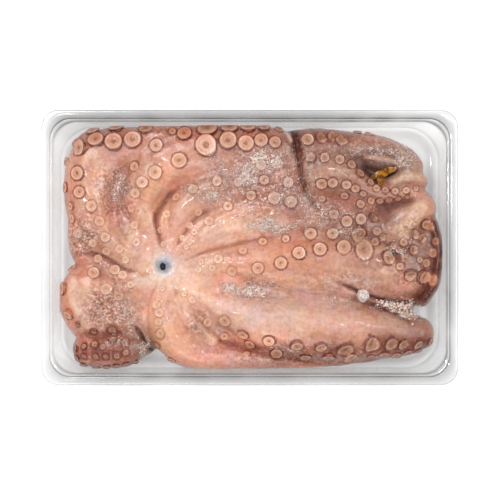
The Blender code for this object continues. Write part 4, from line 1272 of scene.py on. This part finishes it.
def paint_suckers(points, placed, colour, shade_and_tone):
    """The skin's colour with each sucker's disc and outline over it, and each point's share of a radius. The
    outline is partly the rim's darker skin and partly painted shade under the rim; the dark middle is partly
    its own colour and partly painted shade in the cup.
    """
    plan = plan_of(points)
    which, out, lift = nearest_suckers(points, placed)
    radii = np.array([radius / UNIT for _, _, radius, _ in placed])[which]
    large = np.clip((radii - 3.5) / 2.5, 0.0, 1.0)
    chance = np.random.default_rng(SEED + 5)
    own = chance.uniform(-1, 1, len(placed))[which]
    disc = mix(np.tile(linear(DISC_PALE), (len(points), 1)), linear(DISC), large * (0.75 + 0.25 * own))
    veil = strongest(points, FROST_FIELDS)
    away = np.hypot(plan[:, 0] - MOUTH[0], plan[:, 1] - MOUTH[1])
    bold = np.clip((away - 45) / 70, 0.15, 1.0)
    tip = field(plan, *TIP_FIELD)
    disc = mix(disc * np.array(SKIN_DEPTH) * shade_and_tone[:, None], colour, 0.55 - 0.15 * own)
    disc = mix(disc, linear(DISC_RING), np.exp(-((out - 0.50) / 0.07) ** 2) * (0.12 + 0.28 * bold))
    disc = mix(disc, linear(DISC_PALE), np.exp(-((out - 0.76) / 0.10) ** 2) * 0.30)
    # Painted shade in the cup's hole, over its browner colour
    disc = mix(disc, linear(DISC_HOLE), np.clip((0.34 - out) / 0.16, 0.0, 1.0) * (0.25 + 0.6 * bold))
    disc = mix(disc, linear(FROST_SKIN), 0.35 * veil) * (1 - 0.22 * tip)[:, None]
    on_disc = (out < 1.05) & (lift > 0.1)
    colour[on_disc] = disc[on_disc]
    # The outline: the rim's darker skin, with painted shade on the skin round the sucker's root under its rim
    rim = np.clip((out - 1 + (1.2 + 0.9 * tip) / radii) * radii / 0.45, 0.0, 1.0)
    rim = rim * (out < 1.08) * (lift > -2.0)
    skirt_shade = np.clip((1.0 + 0.7 / radii - out) * radii / 0.6, 0.0, 1.0)
    skirt_shade = skirt_shade * (out > 0.8) * (lift <= 0.5) * (lift > -2.5)
    share = np.maximum(rim, skirt_shade) * np.clip((0.7 + 0.3 * large) * bold + tip, 0.0, 1.0)
    share *= (1 + 0.35 * noise(points, 0.0032, 61)) * (1 - 0.75 * veil)
    outline = mix(linear(OUTLINE_WARM), linear(OUTLINE), np.clip((away - 75) / 60 + tip, 0.0, 1.0))
    return mix(colour, outline, np.clip(share, 0.0, 0.95)), out


def paint(body, placed):
    """Skin colour with its painted shade and highlights, frost and roughness at each point, from fields,
    folds and suckers.
    """
    mesh = body.data
    points = read_points(mesh)
    plan = plan_of(points)
    edges = read_edges(mesh)
    close = relax(points[:, 2], edges, 8)
    crease = (close - points[:, 2]) / MM
    hollow = (relax(close, edges, 50) - close) / MM
    colour, rough, shade_and_tone = paint_skin(points, hollow, crease)
    colour, out = paint_suckers(points, placed, colour, shade_and_tone)
    wall = np.minimum(TRAY_LENGTH / 2 - np.abs(points[:, 0]), TRAY_WIDTH / 2 - np.abs(points[:, 1]))
    warm = np.clip(2.3 - wall / WALL_REACH, 0.0, 1.0) * (1 - field(plan, *PLAIN_EDGE))
    colour = mix(colour, colour * np.array(WALL_WARMTH), warm)
    lips = np.hypot((plan[:, 0] - MOUTH[0] - LIP_SHIFT) / LIP_SPREAD[0],
                    (plan[:, 1] - MOUTH[1] + LIP_SHIFT) / LIP_SPREAD[1])
    colour = mix(colour, linear(LIP_PALE), np.clip(1.25 - 0.72 * lips, 0.0, 0.62))
    colour = mix(colour, linear(LIP_GREY), np.clip(1.4 - 1.25 * lips, 0.0, 0.95))
    write_colours(mesh, "skin", colour)
    rough = np.where(out < 1.0, 0.3 * rough, rough) * np.clip(colour.mean(axis=1) / 0.20 - 0.2, 0.1, 1.0)
    dull = np.clip(crease * 2.5 + 0.3 * hollow, 0.0, 1.0)
    write_colours(mesh, "marks", frost_amount(points), rough, dull)


class Nodes:
    """Short ways to add and join a material's nodes."""

    def __init__(self, material):
        self.tree = material.node_tree
        self.shader = shader_of(material)
        self.spot = self.add("ShaderNodeTexCoord").outputs["Object"]

    def add(self, kind, **values):
        node = self.tree.nodes.new(kind)
        for name, value in values.items():
            setattr(node, name, value)
        return node

    def feed(self, source, target):
        if hasattr(source, "is_linked"):
            self.tree.links.new(source, target)
        else:
            target.default_value = source

    def noise(self, scale, detail=2.0, roughness=0.5):
        node = self.add("ShaderNodeTexNoise")
        node.inputs["Scale"].default_value = scale
        node.inputs["Detail"].default_value = detail
        node.inputs["Roughness"].default_value = roughness
        self.feed(self.spot, node.inputs["Vector"])
        return node.outputs["Fac"]

    def cells(self, scale):
        node = self.add("ShaderNodeTexVoronoi")
        node.inputs["Scale"].default_value = scale
        self.feed(self.spot, node.inputs["Vector"])
        return node.outputs["Distance"]

    def ramp(self, value, low, high, to_low=0.0, to_high=1.0):
        node = self.add("ShaderNodeMapRange", interpolation_type="SMOOTHSTEP")
        self.feed(value, node.inputs["Value"])
        node.inputs["From Min"].default_value = low
        node.inputs["From Max"].default_value = high
        node.inputs["To Min"].default_value = to_low
        node.inputs["To Max"].default_value = to_high
        return node.outputs["Result"]

    def maths(self, operation, first, second):
        node = self.add("ShaderNodeMath", operation=operation)
        self.feed(first, node.inputs[0])
        self.feed(second, node.inputs[1])
        return node.outputs["Value"]

    def blend(self, share, first, second, way="MIX"):
        node = self.add("ShaderNodeMix", data_type="RGBA", blend_type=way)
        self.feed(share, node.inputs["Factor"])
        self.feed(first, node.inputs["A"])
        self.feed(second, node.inputs["B"])
        return node.outputs["Result"]

    def two_colours(self, share, first, second):
        """Colour the surface by a share of two sRGB colours."""
        self.feed(self.blend(share, shade(first), shade(second)), self.shader.inputs["Base Color"])

    def bump(self, height, strength, distance, normal=None):
        node = self.add("ShaderNodeBump")
        node.inputs["Strength"].default_value = strength
        node.inputs["Distance"].default_value = distance
        self.feed(height, node.inputs["Height"])
        if normal:
            self.feed(normal, node.inputs["Normal"])
        return node.outputs["Normal"]


def flesh_look():
    """Moist skin over soft flesh: mottled, specked where it is rough, and frosted."""
    material = new_material("octopus_skin", ARM_SKIN, 0.4)
    nodes = Nodes(material)
    skin = nodes.add("ShaderNodeAttribute", attribute_name="skin").outputs["Color"]
    split = nodes.add("ShaderNodeSeparateColor")
    marks = nodes.add("ShaderNodeAttribute", attribute_name="marks")
    nodes.feed(marks.outputs["Color"], split.inputs["Color"])
    frost = split.outputs["Red"]
    rough = split.outputs["Green"]
    dull = split.outputs["Blue"]
    fine = nodes.noise(330.0, 4.0, 0.6)
    grit = nodes.noise(470.0, 3.0, 0.7)
    colour = nodes.blend(0.42, skin, fine, "OVERLAY")
    dark = nodes.maths("MULTIPLY", nodes.ramp(grit, 0.48, 0.60), nodes.ramp(rough, 0.0, 1.0, 0.06, 0.95))
    colour = nodes.blend(dark, colour, shade(BLOTCH))
    pale = nodes.maths("MULTIPLY", nodes.ramp(grit, 0.47, 0.37), nodes.ramp(rough, 0.0, 1.0, 0.06, 0.60))
    colour = nodes.blend(pale, colour, shade(WHITE_SKIN))
    crystals = nodes.ramp(nodes.cells(1150.0), 0.75, 0.15, 0.36, 0.64)
    crust = nodes.blend(0.45, nodes.noise(520.0, 3.0, 0.8), crystals)
    crust = nodes.maths("ADD", crust, nodes.maths("MULTIPLY", frost, 0.16))
    crust = nodes.maths("MULTIPLY", nodes.ramp(crust, 0.575, 0.67), nodes.ramp(frost, 0.04, 0.3))
    colour = nodes.blend(nodes.ramp(frost, 0.1, 0.9, 0.0, 0.65), colour, shade(FROST_GAP))
    colour = nodes.blend(nodes.maths("MULTIPLY", crust, 0.85), colour, shade(FROST_SKIN))
    nodes.feed(colour, nodes.shader.inputs["Base Color"])
    sheen = nodes.ramp(fine, 0.3, 0.7, 0.22, 0.46)
    sheen = nodes.maths("ADD", sheen, nodes.maths("MULTIPLY", dull, 0.4))
    nodes.feed(sheen, nodes.shader.inputs["Roughness"])
    normal = nodes.bump(nodes.noise(170.0, 2.0, 0.5), 0.5, 0.0012)
    normal = nodes.bump(fine, 0.55, 0.0006, normal)
    normal = nodes.bump(grit, 0.35, 0.0004, normal)
    normal = nodes.bump(crust, 0.8, 0.0005, normal)
    nodes.feed(normal, nodes.shader.inputs["Normal"])
    set_sockets(material, {"Subsurface Weight": 0.18, "Subsurface Radius": (1.0, 0.4, 0.25),
                           "Subsurface Scale": 0.003, "Coat Weight": 0.30, "Coat Roughness": 0.12})
    return material


def build_octopus():
    body = build_body()
    placed = add_suckers(body, surface_tree(body.data))
    body.data.shade_smooth()
    paint(body, placed)
    body.data.materials.clear()
    body.data.materials.append(flesh_look())
    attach(body, "root")
    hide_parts("octopus")
    return body


# Frost, beak and ice


def many(name, template, faces, spots, sizes, turns, material):
    """One mesh of many copies of a small shape."""
    count = len(spots)
    points = np.einsum("nij,nvj->nvi", turns, template[None] * sizes[:, None, :]) + spots[:, None, :]
    offsets = np.arange(count)[:, None, None] * len(template)
    mesh = bpy.data.meshes.new(name)
    corners = (faces[None] + offsets).reshape(-1, faces.shape[1])
    mesh.from_pydata(points.reshape(-1, 3).tolist(), [], corners.tolist())
    mesh.materials.append(material)
    obj = bpy.data.objects.new(name, mesh)
    bpy.context.scene.collection.objects.link(obj)
    return obj


def small_lump():
    """Corners and faces of a rough little grain."""
    bm = bmesh.new()
    bmesh.ops.create_icosphere(bm, subdivisions=1, radius=1.0)
    points = np.array([vertex.co for vertex in bm.verts])
    faces = np.array([[vertex.index for vertex in face.verts] for face in bm.faces])
    bm.free()
    return points, faces


def random_turns(chance, count):
    axes = chance.normal(size=(count, 4))
    axes /= np.linalg.norm(axes, axis=1)[:, None]
    w, x, y, z = axes.T
    return np.stack([np.stack([1 - 2 * (y * y + z * z), 2 * (x * y - z * w), 2 * (x * z + y * w)], 1),
                     np.stack([2 * (x * y + z * w), 1 - 2 * (x * x + z * z), 2 * (y * z - x * w)], 1),
                     np.stack([2 * (x * z - y * w), 2 * (y * z + x * w), 1 - 2 * (x * x + y * y)], 1)], 1)


def build_frost(tree):
    """Grains of frost scattered over the frosted skin."""
    chance = np.random.default_rng(SEED + 1)
    fields = chance.integers(len(FROST_FIELDS), size=20 * GRAINS)
    middles = np.array([entry[0] for entry in FROST_FIELDS])[fields]
    halves = np.array([entry[1] for entry in FROST_FIELDS])[fields]
    plan = middles + halves * chance.uniform(-1.2, 1.2, (len(fields), 2))
    flat = np.column_stack([(plan[:, 0] - PLAN_MIDDLE[0]) * UNIT, (PLAN_MIDDLE[1] - plan[:, 1]) * UNIT,
                            np.full(len(plan), TRAY_HEIGHT)])
    frosted = chance.random(len(plan)) < np.minimum(frost_amount(flat), MOST_FROSTED)
    spots = []
    for start in flat[frosted]:
        hit, facing, _, _ = tree.ray_cast(Vector(start), Vector((0, 0, -1)))
        if hit is not None and len(spots) < GRAINS:
            spots.append(hit + facing * 0.08 * MM)
    sizes = list(chance.uniform(*GRAIN_MM, len(spots)))
    for x, y, radius in FROST_LUMPS:
        for _ in range(LUMP_PARTS):
            shift = chance.normal(0, LUMP_SPREAD, 2)
            middle, facing = surface_at(tree, x + shift[0], y + shift[1], 2.0)
            if middle is not None:
                spots.append(middle + facing * 0.2 * MM)
                sizes.append(radius * chance.uniform(0.35, 0.75))
    count = len(spots)
    sizes = np.array(sizes)[:, None] * MM * chance.uniform(0.7, 1.3, (count, 3))
    look = new_material("frost_white", (232, 212, 200), 0.45)
    nodes = Nodes(look)
    specks = nodes.ramp(nodes.noise(620.0, 2.0, 0.6), 0.40, 0.58)
    nodes.two_colours(specks, (192, 166, 154), (236, 218, 208))
    set_sockets(look, {"Subsurface Weight": 0.2, "Subsurface Scale": 0.001})
    points, faces = small_lump()
    frost = many("frost_grains", points, faces, np.array(spots), sizes, random_turns(chance, count), look)
    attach(frost, "root")


def lumpy_copy(name, node, levels, rough_mm, feature, seed, material):
    """A finer piece on a small CAD node's form, with an uneven skin."""
    low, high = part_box(node)
    middle = (low + high) / 2
    half = (high - low) / 2
    bm = bmesh.new()
    bmesh.ops.create_icosphere(bm, subdivisions=levels, radius=1.0)
    points = np.array([vertex.co for vertex in bm.verts])
    shape = points * np.array(half)
    radii = 1 + rough_mm * MM * noise(shape + np.array(middle), feature, seed) / min(half)
    for vertex, point, radius in zip(bm.verts, shape, radii):
        vertex.co = middle + Vector(point) * radius
    piece = add_object(name, bm, material)
    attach(piece, "root")
    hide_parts(node)
    return piece


def build_beak():
    look = new_material("beak_black", (22, 22, 24), 0.28)
    beak = lumpy_copy("beak_tip", "beak", 4, 0.25, 0.0016, 31, look)


def build_ice():
    look = new_material("ice_white", (226, 212, 206), 0.5)
    set_sockets(look, {"Subsurface Weight": 0.3, "Subsurface Scale": 0.003})
    nodes = Nodes(look)
    specks = nodes.ramp(nodes.noise(900.0, 3.0, 0.7), 0.35, 0.62)
    nodes.two_colours(specks, (188, 160, 148), (240, 232, 228))
    nodes.feed(nodes.bump(specks, 0.8, 0.0005), nodes.shader.inputs["Normal"])
    ice = lumpy_copy("ice_ball", "ice_lump", 5, 0.9, 0.0023, 33, look)


def build_scrap(tree):
    """The amber scrap in the far fold: a flattened strip with a tail."""
    bm = bmesh.new()
    for stations in SCRAP:
        rings = []
        start, end = stations[0], stations[-1]
        facing = Vector((0, 0, 1))
        across = facing.cross(Vector((end[0] - start[0], start[1] - end[1], 0))).normalized()
        curve = smooth_curve(stations)
        heights = []
        for x, y, half in curve:
            edges = [(x + across.x * half * side, y - across.y * half * side) for side in (-0.8, 0, 0.8)]
            heights.append(max(surface_at(tree, *edge, 0.5)[0].z for edge in edges) / MM)
        bend = np.polynomial.Polynomial.fit(range(len(heights)), heights, 3)
        for index, (x, y, half) in enumerate(curve):
            middle = place(x, y, bend(index) + 0.3)
            ring = []
            for turn in range(12):
                angle = 2 * math.pi * turn / 12
                wide = half * UNIT * math.cos(angle) * (1 + 0.14 * math.sin(x * 0.6 + angle))
                ring.append(middle + across * wide + facing * (0.5 + 0.55 * math.sin(angle)) * MM)
            rings.append(ring)
        loft(bm, rings)
    look = new_material("amber_scrap", (176, 122, 44), 0.22)
    nodes = Nodes(look)
    patches = nodes.ramp(nodes.noise(260.0, 3.0, 0.6), 0.42, 0.62)
    nodes.two_colours(patches, (110, 64, 20), (190, 132, 48))
    nodes.feed(nodes.bump(patches, 0.3, 0.0006), nodes.shader.inputs["Normal"])
    set_sockets(look, {"Coat Weight": 0.4})
    scrap = add_object("amber_scrap", bm, look)
    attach(scrap, "root")


def main():
    set_camera()
    set_stage()
    build_tray()
    octopus = build_octopus()
    tree = surface_tree(octopus.data)
    build_frost(tree)
    build_scrap(tree)
    build_beak()
    build_ice()


main()
